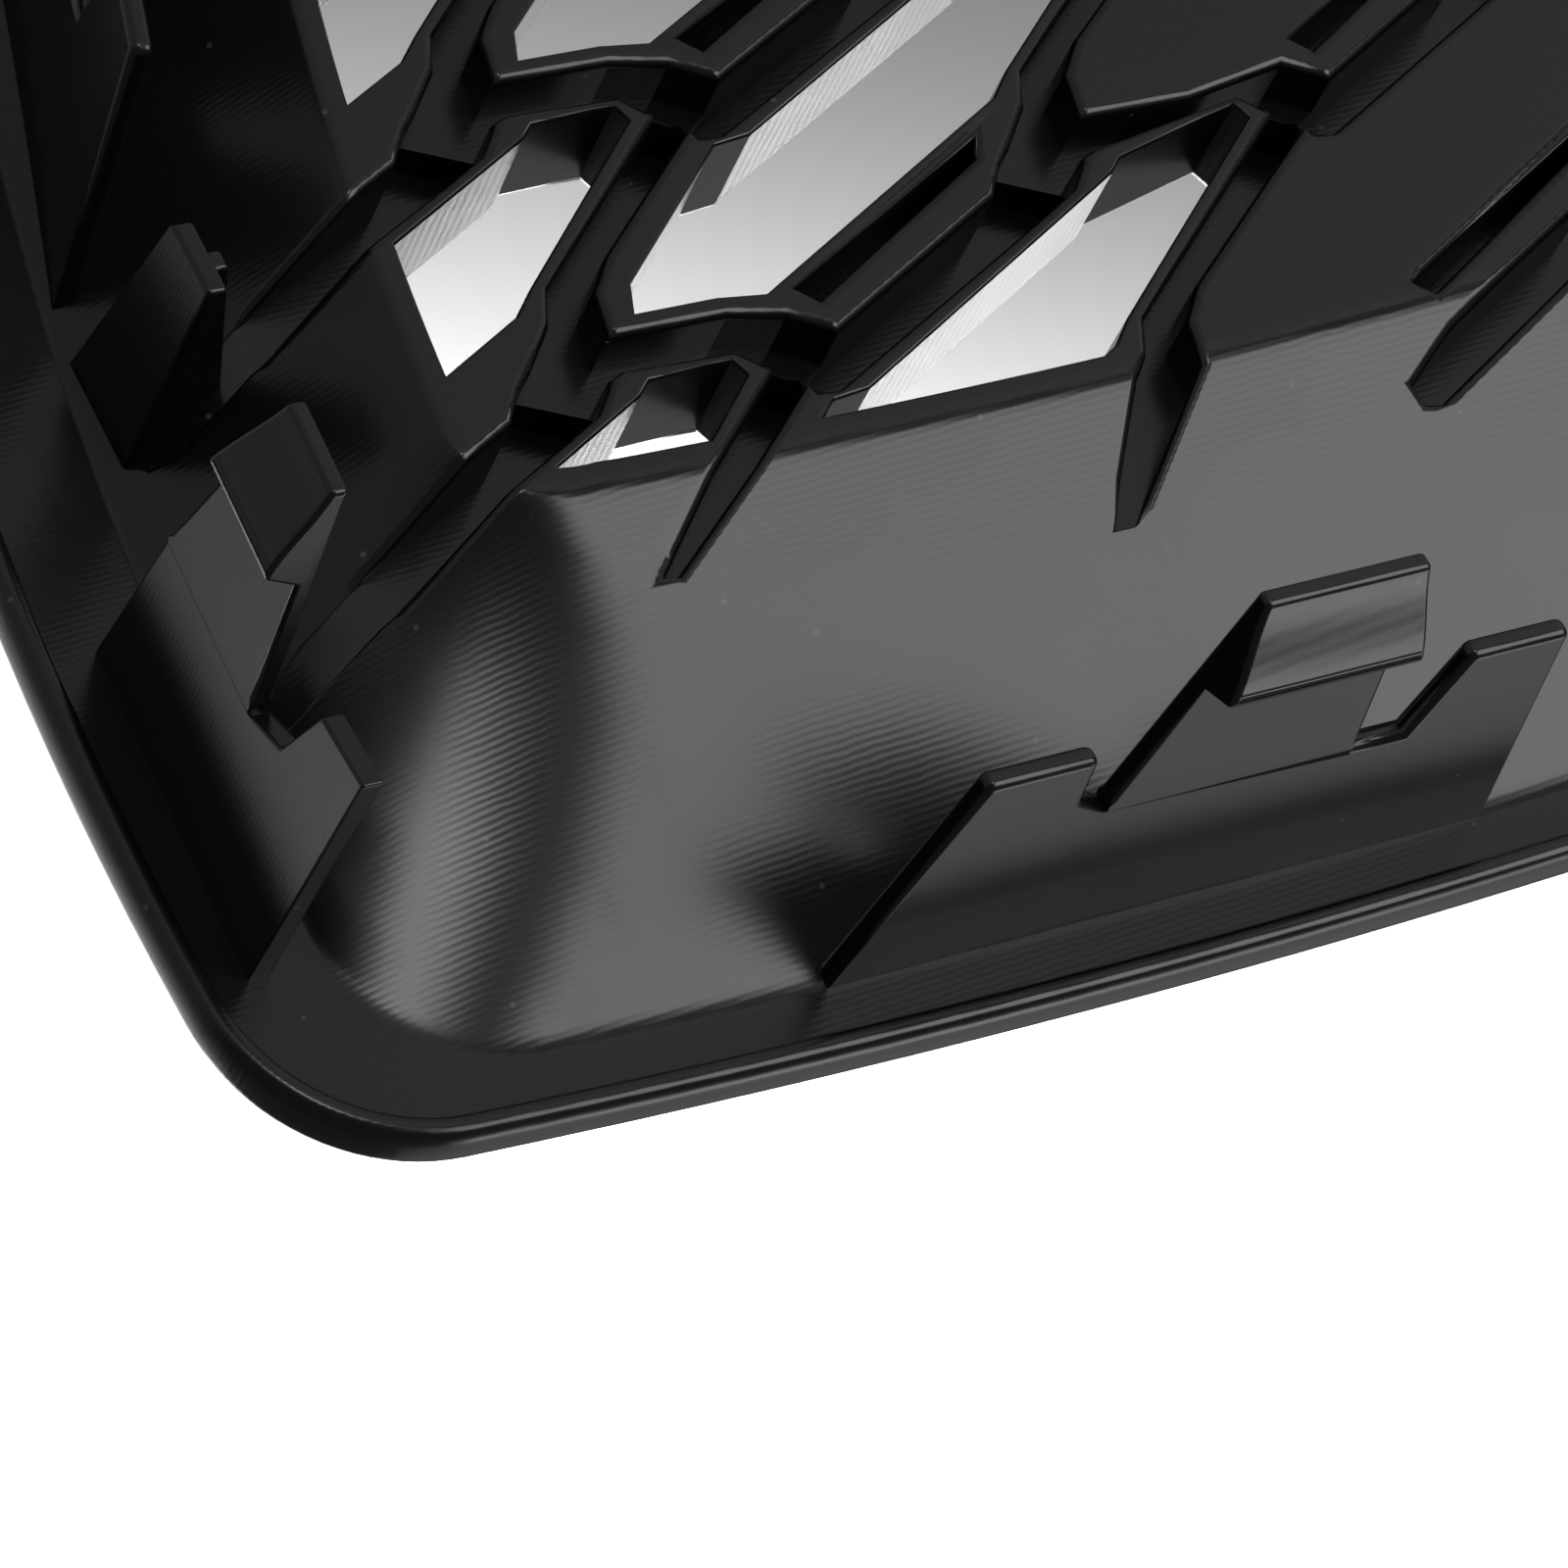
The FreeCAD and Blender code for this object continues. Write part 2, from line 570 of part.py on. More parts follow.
def push_nuts():
    rear_face = dim("mesh_front") + dim("skin")
    return group("badge_push_nuts", [
        ring_piece("push_nut_%d" % number, "dims.push_nut_radius", "dims.stud_radius + 0.02",
                   "dims.push_nut_wall", at(px, rear_face, pz))
        for number, (px, pz) in enumerate(stud_places(), start=1)])


def tab_sleeves():
    rings = []
    for number, tab in enumerate(tab_places(), start=1):
        px, pz = sleeve_centre(tab)
        start = SHELF + dim("tab_height") - 2.4
        rings.append(ring_piece("sleeve_%d" % number, "dims.sleeve_radius", "dims.sleeve_bore",
                                "2.4", at(px, start, pz)))
    return group("tab_sleeves", rings)


def foam_pads():
    """Soft strips on the shelf at the lower part of both sides."""
    slope = math.radians(28.0)
    length = 30.0
    width = 6.0
    radius = dim("side_radius") - 7.0
    middle = at(dim("side_radius") - SIDE_REACH - radius * math.cos(slope), SHELF,
                SIDE_LEVEL - radius * math.sin(slope))
    pads = []
    for sign, name in ((1, "pad_left"), (-1, "pad_right")):
        pad = bound("Box", name, {"Length": length, "Width": "dims.pad_wall", "Height": width})
        turn = FreeCAD.Rotation(at(0, 1, 0), sign * (90.0 - math.degrees(slope)))
        corner = turn.multVec(at(-length / 2, 0, -width / 2))
        pad.Placement = FreeCAD.Placement(at(sign * middle.x, SHELF, middle.z) + corner, turn)
        pads.append(pad)
    return group("foam_pads", pads)


moulding = doc.addObject("Part::Feature", "grille_body")
moulding.Shape = grille_moulding()
moulding.Placement = HOME
nodes = [moulding]
for name, kind, base_x, base_z, turn in station_places():
    nodes.append(snap_tongue(name, kind, station_frame(base_x, base_z, turn), False))
    if name.endswith("_left"):
        other = station_frame(-base_x, base_z, -turn)
        nodes.append(snap_tongue(name[:-4] + "right", kind, other, True))
nodes += [badge_plate(), push_nuts(), tab_sleeves(), foam_pads()]
doc.recompute()

os.makedirs("parts", exist_ok=True)
for item in nodes:
    item.Label = item.Name
for item in doc.Objects:
    if "Invalid" in item.State or "Error" in item.State:
        raise RuntimeError("%s did not build" % item.Name)
for item in nodes:
    if item.Shape.isNull() or not item.Shape.isValid():
        raise RuntimeError("%s has no valid shape" % item.Name)
    item.Shape.exportStep("parts/%s.step" % item.Name)
    size = item.Shape.BoundBox
    print("%-30s solids %d  faces %d  volume %.0f  x %.1f %.1f  y %.1f %.1f  z %.1f %.1f" % (
        item.Name, len(item.Shape.Solids), len(item.Shape.Faces), item.Shape.Volume,
        size.XMin, size.XMax, size.YMin, size.YMax, size.ZMin, size.ZMax))
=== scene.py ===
import math

import bpy
import numpy as np
from mathutils import Matrix, Vector
from mathutils.geometry import delaunay_2d_cdt


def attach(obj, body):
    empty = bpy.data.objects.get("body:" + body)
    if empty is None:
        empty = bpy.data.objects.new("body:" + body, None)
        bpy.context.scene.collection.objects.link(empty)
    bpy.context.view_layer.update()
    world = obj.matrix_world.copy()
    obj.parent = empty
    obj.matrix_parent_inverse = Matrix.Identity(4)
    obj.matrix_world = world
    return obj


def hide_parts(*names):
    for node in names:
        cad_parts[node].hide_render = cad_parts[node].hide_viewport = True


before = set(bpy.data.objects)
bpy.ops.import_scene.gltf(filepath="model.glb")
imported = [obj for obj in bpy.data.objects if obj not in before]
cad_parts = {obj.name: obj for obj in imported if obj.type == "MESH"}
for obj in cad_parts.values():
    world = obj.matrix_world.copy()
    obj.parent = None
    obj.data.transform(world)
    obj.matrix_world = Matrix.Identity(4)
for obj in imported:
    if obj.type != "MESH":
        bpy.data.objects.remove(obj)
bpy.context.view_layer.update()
scene = bpy.context.scene
MM = 0.001

# ------------------------------------------------------------------ materials


def material(name, colour, roughness, metallic=0.0, bump_scale=900.0, bump=0.02, mottling=0.15,
             milled=0.0, specks=0.0):
    """Procedural plastic or metal: mottled colour and roughness, fine relief, tool marks, dust."""
    mat = bpy.data.materials.new(name)
    mat.use_nodes = True
    nodes = mat.node_tree.nodes
    links = mat.node_tree.links
    shader = nodes["Principled BSDF"]
    shader.inputs["Metallic"].default_value = metallic
    place = nodes.new("ShaderNodeTexCoord").outputs["Object"]

    def noise(scale, detail):
        node = nodes.new("ShaderNodeTexNoise")
        node.inputs["Scale"].default_value = scale
        node.inputs["Detail"].default_value = detail
        links.new(place, node.inputs["Vector"])
        return node.outputs["Fac"]

    def ranged(value, low, high, to_low, to_high):
        node = nodes.new("ShaderNodeMapRange")
        for key, number in (("From Min", low), ("From Max", high), ("To Min", to_low), ("To Max", to_high)):
            node.inputs[key].default_value = number
        links.new(value, node.inputs["Value"])
        return node.outputs["Result"]

    def relief(height, strength, distance, below=None):
        node = nodes.new("ShaderNodeBump")
        node.inputs["Strength"].default_value = strength
        node.inputs["Distance"].default_value = distance
        links.new(height, node.inputs["Height"])
        if below is not None:
            links.new(below, node.inputs["Normal"])
        return node.outputs["Normal"]

    broad = noise(35.0, 4.0)
    tint = nodes.new("ShaderNodeValToRGB")
    tint.color_ramp.elements[0].color = (*[channel * (1.0 - mottling) for channel in colour], 1.0)
    tint.color_ramp.elements[1].color = (*[channel * (1.0 + mottling) for channel in colour], 1.0)
    links.new(broad, tint.inputs["Fac"])
    paint = tint.outputs["Color"]
    if specks:
        dots = nodes.new("ShaderNodeTexVoronoi")
        dots.inputs["Scale"].default_value = 170.0
        links.new(place, dots.inputs["Vector"])
        dust = nodes.new("ShaderNodeMix")
        dust.data_type = "RGBA"
        dust.inputs["B"].default_value = (specks, specks, specks, 1.0)
        links.new(ranged(dots.outputs["Distance"], 0.035, 0.05, 1.0, 0.0), dust.inputs["Factor"])
        links.new(paint, dust.inputs["A"])
        paint = dust.outputs["Result"]
    links.new(paint, shader.inputs["Base Color"])
    links.new(ranged(broad, 0.3, 0.7, roughness * 0.92, roughness * 1.08), shader.inputs["Roughness"])
    surface = relief(noise(bump_scale, 2.0), bump, 0.0002)
    if milled:
        marks = nodes.new("ShaderNodeTexWave")
        marks.bands_direction = "Z"
        marks.inputs["Scale"].default_value = 560.0
        marks.inputs["Distortion"].default_value = 2.2
        marks.inputs["Detail Scale"].default_value = 0.6
        links.new(place, marks.inputs["Vector"])
        surface = relief(marks.outputs["Fac"], 1.0, milled, surface)
    links.new(surface, shader.inputs["Normal"])
    return mat


gloss_black = material("gloss_black_abs", (0.0045, 0.0045, 0.0052), 0.24, milled=0.0000045, specks=0.05)
satin_black = material("satin_black", (0.012, 0.012, 0.013), 0.4, bump=0.1)
spring_steel = material("spring_steel", (0.22, 0.22, 0.23), 0.32, metallic=1.0)
zinc_steel = material("zinc_steel", (0.6, 0.6, 0.62), 0.28, metallic=1.0)
foam = material("foam", (0.02, 0.02, 0.02), 0.95, bump_scale=1500.0, bump=0.8)
FINISH = {"badge_plate": satin_black, "badge_push_nuts": spring_steel, "tab_sleeves": zinc_steel,
          "foam_pads": foam}

for name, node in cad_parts.items():
    node.data.materials.clear()
    node.data.materials.append(FINISH.get(name, gloss_black))
    for polygon in node.data.polygons:
        polygon.use_smooth = True
    rounding = node.modifiers.new("rounding", "BEVEL")
    rounding.width = 0.35 * MM
    rounding.segments = 2
    rounding.limit_method = "ANGLE"
    rounding.angle_limit = math.radians(35.0)
    rounding.harden_normals = True

# ------------------------------------------------------------------ moulding: driving sizes, mm

WIDE = 420.0
TALL = 205.0
DEPTH = 48.0
CROWN = (-279.0, TALL - 1100.0)
FLANK = (300.0 - WIDE + 3.7, TALL - 25.0)
CROWN_RADIUS = 1100.0
FLANK_RADIUS = 300.0
SHELF = 3.0
REAR = 20.0
BARS_FRONT = 9.8
SKIN = 2.2
BAND_WALL = 2.5
FOOT_INSETS = (6.7, 12.0, 6.7)
MESH_INSETS = (44.4, 32.5, 36.0)
WIDE_FLOOR = 12.0
RIB_FLOOR = 15.0
CENTRE_WEB = 1.5
PANEL = (70.0, 38.0, 96.0)
RIM_ROUND = 0.9
OPENING_ROUND = 0.35
FRONT_ROUND = 0.9
BLEND_SWELL = 11.0


def unit(vectors):
    return vectors / np.maximum(np.linalg.norm(vectors, axis=-1, keepdims=True), 1e-9)


def edge_distances(points):
    """Distance of each point inside the rim's top, side and bottom edges, and the inward normals."""
    x, z = points[:, 0], points[:, 1]
    to_crown = np.stack([CROWN[0] - x, CROWN[1] - z], 1)
    to_flank = np.stack([FLANK[0] - x, FLANK[1] - z], 1)
    curved = x < CROWN[0]
    top = np.where(curved, CROWN_RADIUS - np.linalg.norm(to_crown, axis=1), TALL - z)
    top_in = np.where(curved[:, None], unit(to_crown), np.array([[0.0, -1.0]]))
    side = FLANK_RADIUS - np.linalg.norm(to_flank, axis=1)
    bottom_in = np.tile(np.array([[0.0, 1.0]]), (len(points), 1))
    return (top, side, z.copy()), (top_in, unit(to_flank), bottom_in)


def rounded(a, b, normal_a, normal_b, radius):
    """Inside distance near a corner between two edges, rounded by a radius."""
    cosine = np.sum(normal_a * normal_b, 1)
    p = radius - a
    q = radius - b
    in_corner = (p - q * cosine > 0) & (q - p * cosine > 0)
    reach = np.sqrt(np.maximum(p * p + q * q - 2 * p * q * cosine, 0) / np.maximum(1 - cosine**2, 1e-6))
    return np.where(in_corner, radius - reach, np.minimum(a, b))


def inside_of(points, insets, corner, low_corner):
    distances, normals = edge_distances(points)
    moved = [d - i for d, i in zip(distances, insets)]
    upper = rounded(moved[0], moved[1], normals[0], normals[1], corner)
    lower = rounded(moved[2], moved[1], normals[2], normals[1], low_corner)
    return np.minimum(upper, lower)


def band_sizes(depth, thinner):
    """Insets and corner radii of the band's face at a depth: rear face, or front where thinner."""
    share = (depth - SHELF) / (REAR - SHELF)
    insets = []
    for foot, mesh in zip(FOOT_INSETS, MESH_INSETS):
        run = mesh - foot
        step = thinner * np.hypot(REAR - SHELF, run) / (REAR - SHELF)
        insets.append(foot + share * run + step)
    swell = 4.0 * BLEND_SWELL * np.clip(share * (1.0 - share), 0.0, None)
    return insets, 14.0 - 6.0 * share + swell, 20.0 - 8.0 * share + swell


def band_level(points, thinner, low, high, soften):
    """Height of the band's rear or front face over each point, softened where it meets the flats."""
    start = np.full(len(points), low - 6.0)
    end = np.full(len(points), high + 6.0)
    for _ in range(26):
        middle = (start + end) / 2
        insets, corner, low_corner = band_sizes(middle, thinner)
        above = inside_of(points, insets, corner, low_corner) > 0
        start = np.where(above, middle, start)
        end = np.where(above, end, middle)
    level = -soften * np.logaddexp(-high / soften, -(start + end) / (2 * soften))
    return soften * np.logaddexp(low / soften, level / soften)


def rear_level(points):
    return band_level(points, 0.0, SHELF, REAR, 0.16)


def front_level(points):
    return band_level(points, BAND_WALL, 0.0, REAR - SKIN, 0.16)


def level_normal(level, points, facing):
    step = 0.05
    shift_x = np.array([[step, 0.0]])
    shift_z = np.array([[0.0, step]])
    slope_x = (level(points + shift_x) - level(points - shift_x)) / (2 * step)
    slope_z = (level(points + shift_z) - level(points - shift_z)) / (2 * step)
    return facing * unit(np.stack([-slope_x, np.ones(len(points)), -slope_z], 1))


# ------------------------------------------------------------------ outline loops


def circle_meet(first, first_radius, second, second_radius):
    gap = math.hypot(second[0] - first[0], second[1] - first[1])
    along = (first_radius**2 - second_radius**2 + gap**2) / (2 * gap)
    off = math.sqrt(first_radius**2 - along**2)
    ux, uz = (second[0] - first[0]) / gap, (second[1] - first[1]) / gap
    return first[0] + ux * along - uz * off, first[1] + uz * along + ux * off


def arc_points(centre, radius, start, end, count):
    first = math.atan2(start[1] - centre[1], start[0] - centre[0]) % math.tau
    last = math.atan2(end[1] - centre[1], end[0] - centre[0]) % math.tau
    return [(centre[0] + radius * math.cos(first + (last - first) * k / count),
             centre[1] + radius * math.sin(first + (last - first) * k / count)) for k in range(count)]


def half_outline(insets, corner, low_corner):
    """Points of the rim shape's left half, from the top middle to the bottom middle."""
    top, side, bottom = insets
    crown_radius = CROWN_RADIUS - top
    flank_radius = FLANK_RADIUS - side
    upper = circle_meet(CROWN, crown_radius - corner, FLANK, flank_radius - corner)
    drop = FLANK[1] - bottom - low_corner
    lower = (FLANK[0] - math.sqrt((flank_radius - low_corner)**2 - drop**2), bottom + low_corner)

    def on(centre, through, radius):
        reach = math.hypot(through[0] - centre[0], through[1] - centre[1])
        return (centre[0] + (through[0] - centre[0]) * radius / reach,
                centre[1] + (through[1] - centre[1]) * radius / reach)

    flat_end = (CROWN[0], TALL - top)
    top_end = on(CROWN, upper, crown_radius)
    side_top = on(FLANK, upper, flank_radius)
    side_foot = on(FLANK, lower, flank_radius)
    bottom_end = (lower[0], bottom)
    loop = [(flat_end[0] * k / 30, flat_end[1]) for k in range(30)]
    loop += arc_points(CROWN, crown_radius, flat_end, top_end, 24)
    loop += arc_points(upper, corner, top_end, side_top, 20)
    loop += arc_points(FLANK, flank_radius, side_top, side_foot, 36)
    loop += arc_points(lower, low_corner, side_foot, bottom_end, 16)
    loop += [(bottom_end[0] * (30 - k) / 30, bottom) for k in range(31)]
    return np.array(loop)


# ------------------------------------------------------------------ honeycomb

ROW = (-0.1, 25.3)
SHORT_RIB = (19.4, -1.9)
LONG_RIB = (24.4, 1.1)
DIAGONAL = (30.2, 16.5)
TILT = math.radians(7.0)
FIRST_NODE = (55.9 - WIDE, TALL - 60.4)

# each corner is (row step, column step, rib end, offset across, offset inward) from a node
OPENING = ((0, 0, 0, 2.8, 2.4), (0, 0, 0, 10.2, 2.8), (0, 0, 1, -4.7, 4.4), (0, 1, 0, -7.2, 3.6),
           (0, 1, 0, -5.0, 6.0), (1, 1, 1, -9.6, -2.9), (1, 1, 1, -10.4, -1.4),
           (1, 1, 0, 1.4, -4.0), (1, 1, 0, 0.1, -5.3), (1, 0, 1, 0.2, -5.8),
           (1, 0, 1, -3.3, -6.4), (0, 0, 0, 3.6, 5.2))
WIDE_CHANNEL = ((0, 0, 1, -4.9, -3.9), (0, 0, 1, -4.2, -5.2), (0, 0, 1, -2.4, -5.4),
                (0, 1, 0, -4.1, -6.4), (0, 1, 0, -2.0, -3.8), (0, 1, 0, -7.7, -1.3),
                (0, 1, 0, -9.4, -3.1), (0, 1, 0, -11.3, -6.0), (0, 0, 1, 0.0, 0.0))
SLOT = ((0, 0, 1, -2.0, 4.4), (0, 0, 1, -0.5, 3.1), (0, 1, 0, -11.4, -2.0), (0, 1, 0, -10.4, 0.1))
LEVEL_RIB = ((0, 0, 0, -3.2, -3.9), (0, 0, 0, -0.4, -2.6), (0, 0, 1, -9.6, -0.4),
             (0, 0, 1, -6.8, -2.9), (0, 0, 1, -4.9, -3.9), (0, 0, 1, 0.0, 0.0),
             (0, 0, 1, -3.9, 2.1), (0, 0, 0, 10.5, 1.0), (0, 0, 0, -0.3, 0.5))
STEEP_RIB = ((0, 0, 0, -2.0, -3.8), (0, 0, 0, -0.3, 0.5), (0, 0, 0, 0.2, 5.0), (0, 0, 0, 2.7, 8.3),
             (1, 0, 1, -4.7, -4.2), (1, 0, 1, -7.1, -2.9), (0, 0, 0, -3.4, 5.8),
             (0, 0, 0, -4.6, 2.5), (0, 0, 0, -7.7, -1.3), (0, 0, 0, -9.4, -3.1))


def node_place(row, column, end):
    rib = LONG_RIB if column > 0 else SHORT_RIB
    growth = max(column - 1, 0)
    across = column * (SHORT_RIB[0] + DIAGONAL[0]) + growth * (LONG_RIB[0] - SHORT_RIB[0])
    inward = column * (SHORT_RIB[1] + DIAGONAL[1]) + growth * (LONG_RIB[1] - SHORT_RIB[1])
    return across + row * ROW[0] + end * rib[0], inward + row * ROW[1] + end * rib[1]


def corners(pattern, row, column):
    points = []
    for row_step, column_step, end, across, inward in pattern:
        base = node_place(row + row_step, column + column_step, end)
        u, v = base[0] + across, base[1] + inward
        points.append((FIRST_NODE[0] + u * math.cos(TILT) + v * math.sin(TILT),
                       FIRST_NODE[1] + u * math.sin(TILT) - v * math.cos(TILT)))
    return points


def depth_inside(point):
    away = math.hypot(point[0] - FLANK[0], point[1] - FLANK[1])
    sag = max(CROWN[0] - point[0], 0.0)**2 / (2 * CROWN_RADIUS)
    return min(TALL - sag - MESH_INSETS[0] - point[1], FLANK_RADIUS - MESH_INSETS[1] - away,
               point[1] - MESH_INSETS[2])


def signed_area(loop):
    return sum(a[0] * b[1] - b[0] * a[1] for a, b in zip(loop, loop[1:] + loop[:1])) / 2


def clip(loop, normal, offset):
    """Part of a polygon where normal . p <= offset."""
    kept = []
    for a, b in zip(loop, loop[1:] + loop[:1]):
        da = normal[0] * a[0] + normal[1] * a[1] - offset
        db = normal[0] * b[0] + normal[1] * b[1] - offset
        if da <= 0:
            kept.append(a)
        if da * db < 0:
            share = da / (da - db)
            kept.append((a[0] + (b[0] - a[0]) * share, a[1] + (b[1] - a[1]) * share))
    return kept


def clip_convex(loop, area):
    """Part of a polygon inside a convex counter-clockwise polygon."""
    for a, b in zip(area, area[1:] + area[:1]):
        if len(loop) < 3:
            break
        normal = (b[1] - a[1], a[0] - b[0])
        loop = clip(loop, normal, normal[0] * a[0] + normal[1] * a[1])
    return loop


def tidy_loop(loop):
    """Counter-clockwise, with points closer than 0.05 mm merged."""
    if len(loop) < 3:
        return []
    if signed_area(loop) < 0:
        loop = loop[::-1]
    kept = []
    for point in loop:
        if not kept or math.dist(point, kept[-1]) > 0.05:
            kept.append(point)
    if len(kept) > 2 and math.dist(kept[0], kept[-1]) <= 0.05:
        kept.pop()
    return kept if len(kept) > 2 and signed_area(kept) > 0.5 else []


def offset(loop, distance):
    """Counter-clockwise polygon moved outwards, with cut-off mitres."""
    grown = []
    count = len(loop)
    for k in range(count):
        before, here, after = loop[k - 1], loop[k], loop[(k + 1) % count]
        first = (here[0] - before[0], here[1] - before[1])
        second = (after[0] - here[0], after[1] - here[1])
        la, lb = math.hypot(*first), math.hypot(*second)
        na = (first[1] / la, -first[0] / la)
        nb = (second[1] / lb, -second[0] / lb)
        bend = 1 + na[0] * nb[0] + na[1] * nb[1]
        scale = distance / max(bend, 0.35)
        grown.append((here[0] + (na[0] + nb[0]) * scale, here[1] + (na[1] + nb[1]) * scale))
    return grown


def panel_loop(grow, steps=5):
    half_x, half_z, level = PANEL[0] + grow, PANEL[1] + grow, PANEL[2]
    radius = 12.0 + grow
    loop = [(0.0, level + half_z)]
    for centre_z, first in ((level + half_z - radius, 90.0), (level - half_z + radius, 180.0)):
        for k in range(steps + 1):
            angle = math.radians(first + 90.0 * k / steps)
            loop.append((-half_x + radius + radius * math.cos(angle), centre_z + radius * math.sin(angle)))
    loop.append((0.0, level - half_z))
    return loop


TIP_REACH_OUTER = (-8.3, 6.0)     # from the mesh edge to the tip, in the outer column
TIP_REACH = (-8.8, 10.2)          # the same in the other columns
TIP_SHARE = 0.16                  # half the tip's width over the groove's width at the mesh edge
TIP_OVERLAP = 0.4                 # how far beyond the mesh edge the wedge starts


def with_tip(groove, column):
    """Groove whose part beyond the mesh edge is a narrow wedge reaching down the band."""
    reach = TIP_REACH_OUTER if column == 0 else TIP_REACH
    kept = []
    ends = []
    for a, b in zip(groove, groove[1:] + groove[:1]):
        da, db = depth_inside(a) + TIP_OVERLAP, depth_inside(b) + TIP_OVERLAP
        if da >= 0:
            kept.append(a)
        if da * db < 0:
            share = da / (da - db)
            kept.append((a[0] + (b[0] - a[0]) * share, a[1] + (b[1] - a[1]) * share))
            ends.append((len(kept), kept[-1], da > 0))
    if len(ends) != 2:
        return groove
    leaving = next(end for end in ends if end[2])
    entering = next(end for end in ends if not end[2])
    middle = [(leaving[1][k] + entering[1][k]) / 2 + reach[k] for k in (0, 1)]
    half = [(leaving[1][k] - entering[1][k]) * TIP_SHARE for k in (0, 1)]
    tip = [(middle[0] + half[0], middle[1] + half[1]), (middle[0] - half[0], middle[1] - half[1])]
    return kept[:leaving[0]] + tip + kept[leaving[0]:]


def mesh_features():
    """Front pockets, through openings and rear channels, as tidy polygons of the left half."""
    border = [inset + 2.2 for inset in MESH_INSETS]
    area = [tuple(p) for p in half_outline(border, 7.0, 11.0)]
    if signed_area(area) < 0:
        area = area[::-1]
    pockets, through, wide, ribs = [], [], [], []

    def half(loop):
        return tidy_loop(clip(loop, (1.0, 0.0), -CENTRE_WEB))

    for column in range(-2, 9):
        for row in range(-9, 9):
            cell = corners(OPENING, row, column)
            middle = np.mean(cell, axis=0)
            if depth_inside(middle) > -22.0 and middle[0] < 12.0:
                blank = column > 0 and (middle[1] > TALL - 92.0 or middle[0] > -95.0)
                opened = [] if blank else tidy_loop(clip_convex(half(cell), area))
                if opened:
                    through.append(opened)
                pockets.append(half(cell))
            for pattern, home, reach in ((WIDE_CHANNEL, wide, -2.5), (SLOT, wide, -2.5),
                                         (LEVEL_RIB, ribs, 0.0)):
                groove = corners(pattern, row, column)
                if depth_inside(np.mean(groove, axis=0)) > reach and np.mean(groove, axis=0)[0] < 25.0:
                    home.append(half(groove))
            groove = corners(STEEP_RIB, row, column)
            head = min(depth_inside(groove[5]), depth_inside(np.mean(groove, axis=0)) + 16.0)
            if head > 1.0 and np.mean(groove, axis=0)[0] < 25.0:
                near_top = groove[0][1] > TALL - MESH_INSETS[0] - 8.0
                ribs.append(half(with_tip(groove, column) if near_top else groove))
    return [[loop for loop in group if loop] for group in (pockets, through, wide, ribs)]


# ------------------------------------------------------------------ height field of the moulding


def contains(loop, points):
    inside = np.zeros(len(points), bool)
    x, z = points[:, 0], points[:, 1]
    for (ax, az), (bx, bz) in zip(loop, loop[1:] + loop[:1]):
        crosses = (az > z) != (bz > z)
        with np.errstate(divide="ignore", invalid="ignore"):
            cut = (bx - ax) * (z - az) / (bz - az) + ax
        inside ^= crosses & (x < cut)
    return inside


def nearest_edge(loops, points):
    """Distance to the nearest polygon edge outside all the polygons, and the way into it."""
    best = np.full(len(points), 1e9)
    way = np.zeros((len(points), 2))
    for loop in loops:
        ring = np.array(loop)
        low, high = ring.min(0) - 1.5, ring.max(0) + 1.5
        close = np.nonzero(np.all((points > low) & (points < high), axis=1))[0]
        if not len(close):
            continue
        near = points[close]
        for a, b in zip(ring, np.roll(ring, -1, 0)):
            along = b - a
            share = np.clip(((near - a) @ along) / (along @ along), 0, 1)
            gap = np.linalg.norm(near - a - share[:, None] * along, axis=1)
            better = gap < best[close] - 1e-7
            inward = np.array([-along[1], along[0]]) / np.linalg.norm(along)
            best[close[better]] = gap[better]
            way[close[better]] = inward
    return best, way


def fillet_drop(distance, radius):
    """How far a rounded edge has fallen at a distance from its wall."""
    left = np.clip(radius - distance, 0, None)
    return radius - np.sqrt(np.maximum(radius**2 - left**2, 0))


# ------------------------------------------------------------------ moulding mesh

RIM_PROFILE = ((2.6, 3.0), (2.2, 3.06), (2.05, 3.25), (2.0, 3.6), (1.95, 4.1), (1.8, 4.36),
               (1.5, 4.5), (0.95, 4.5), (0.6, 4.42), (0.3, 4.15), (0.1, 3.7), (0.0, 3.1),
               (0.0, 1.3), (0.08, 0.8), (0.3, 0.35), (0.65, 0.08), (1.1, 0.0), (2.6, 0.0))
SEAM_SLACK = 0.002      # mm that a vertex may stand off an edge it is stitched to
THROUGH, SKIN_SIDE, WIDE_SIDE, RIB_SIDE, PANEL_SIDE, POCKET_SIDE = range(6)


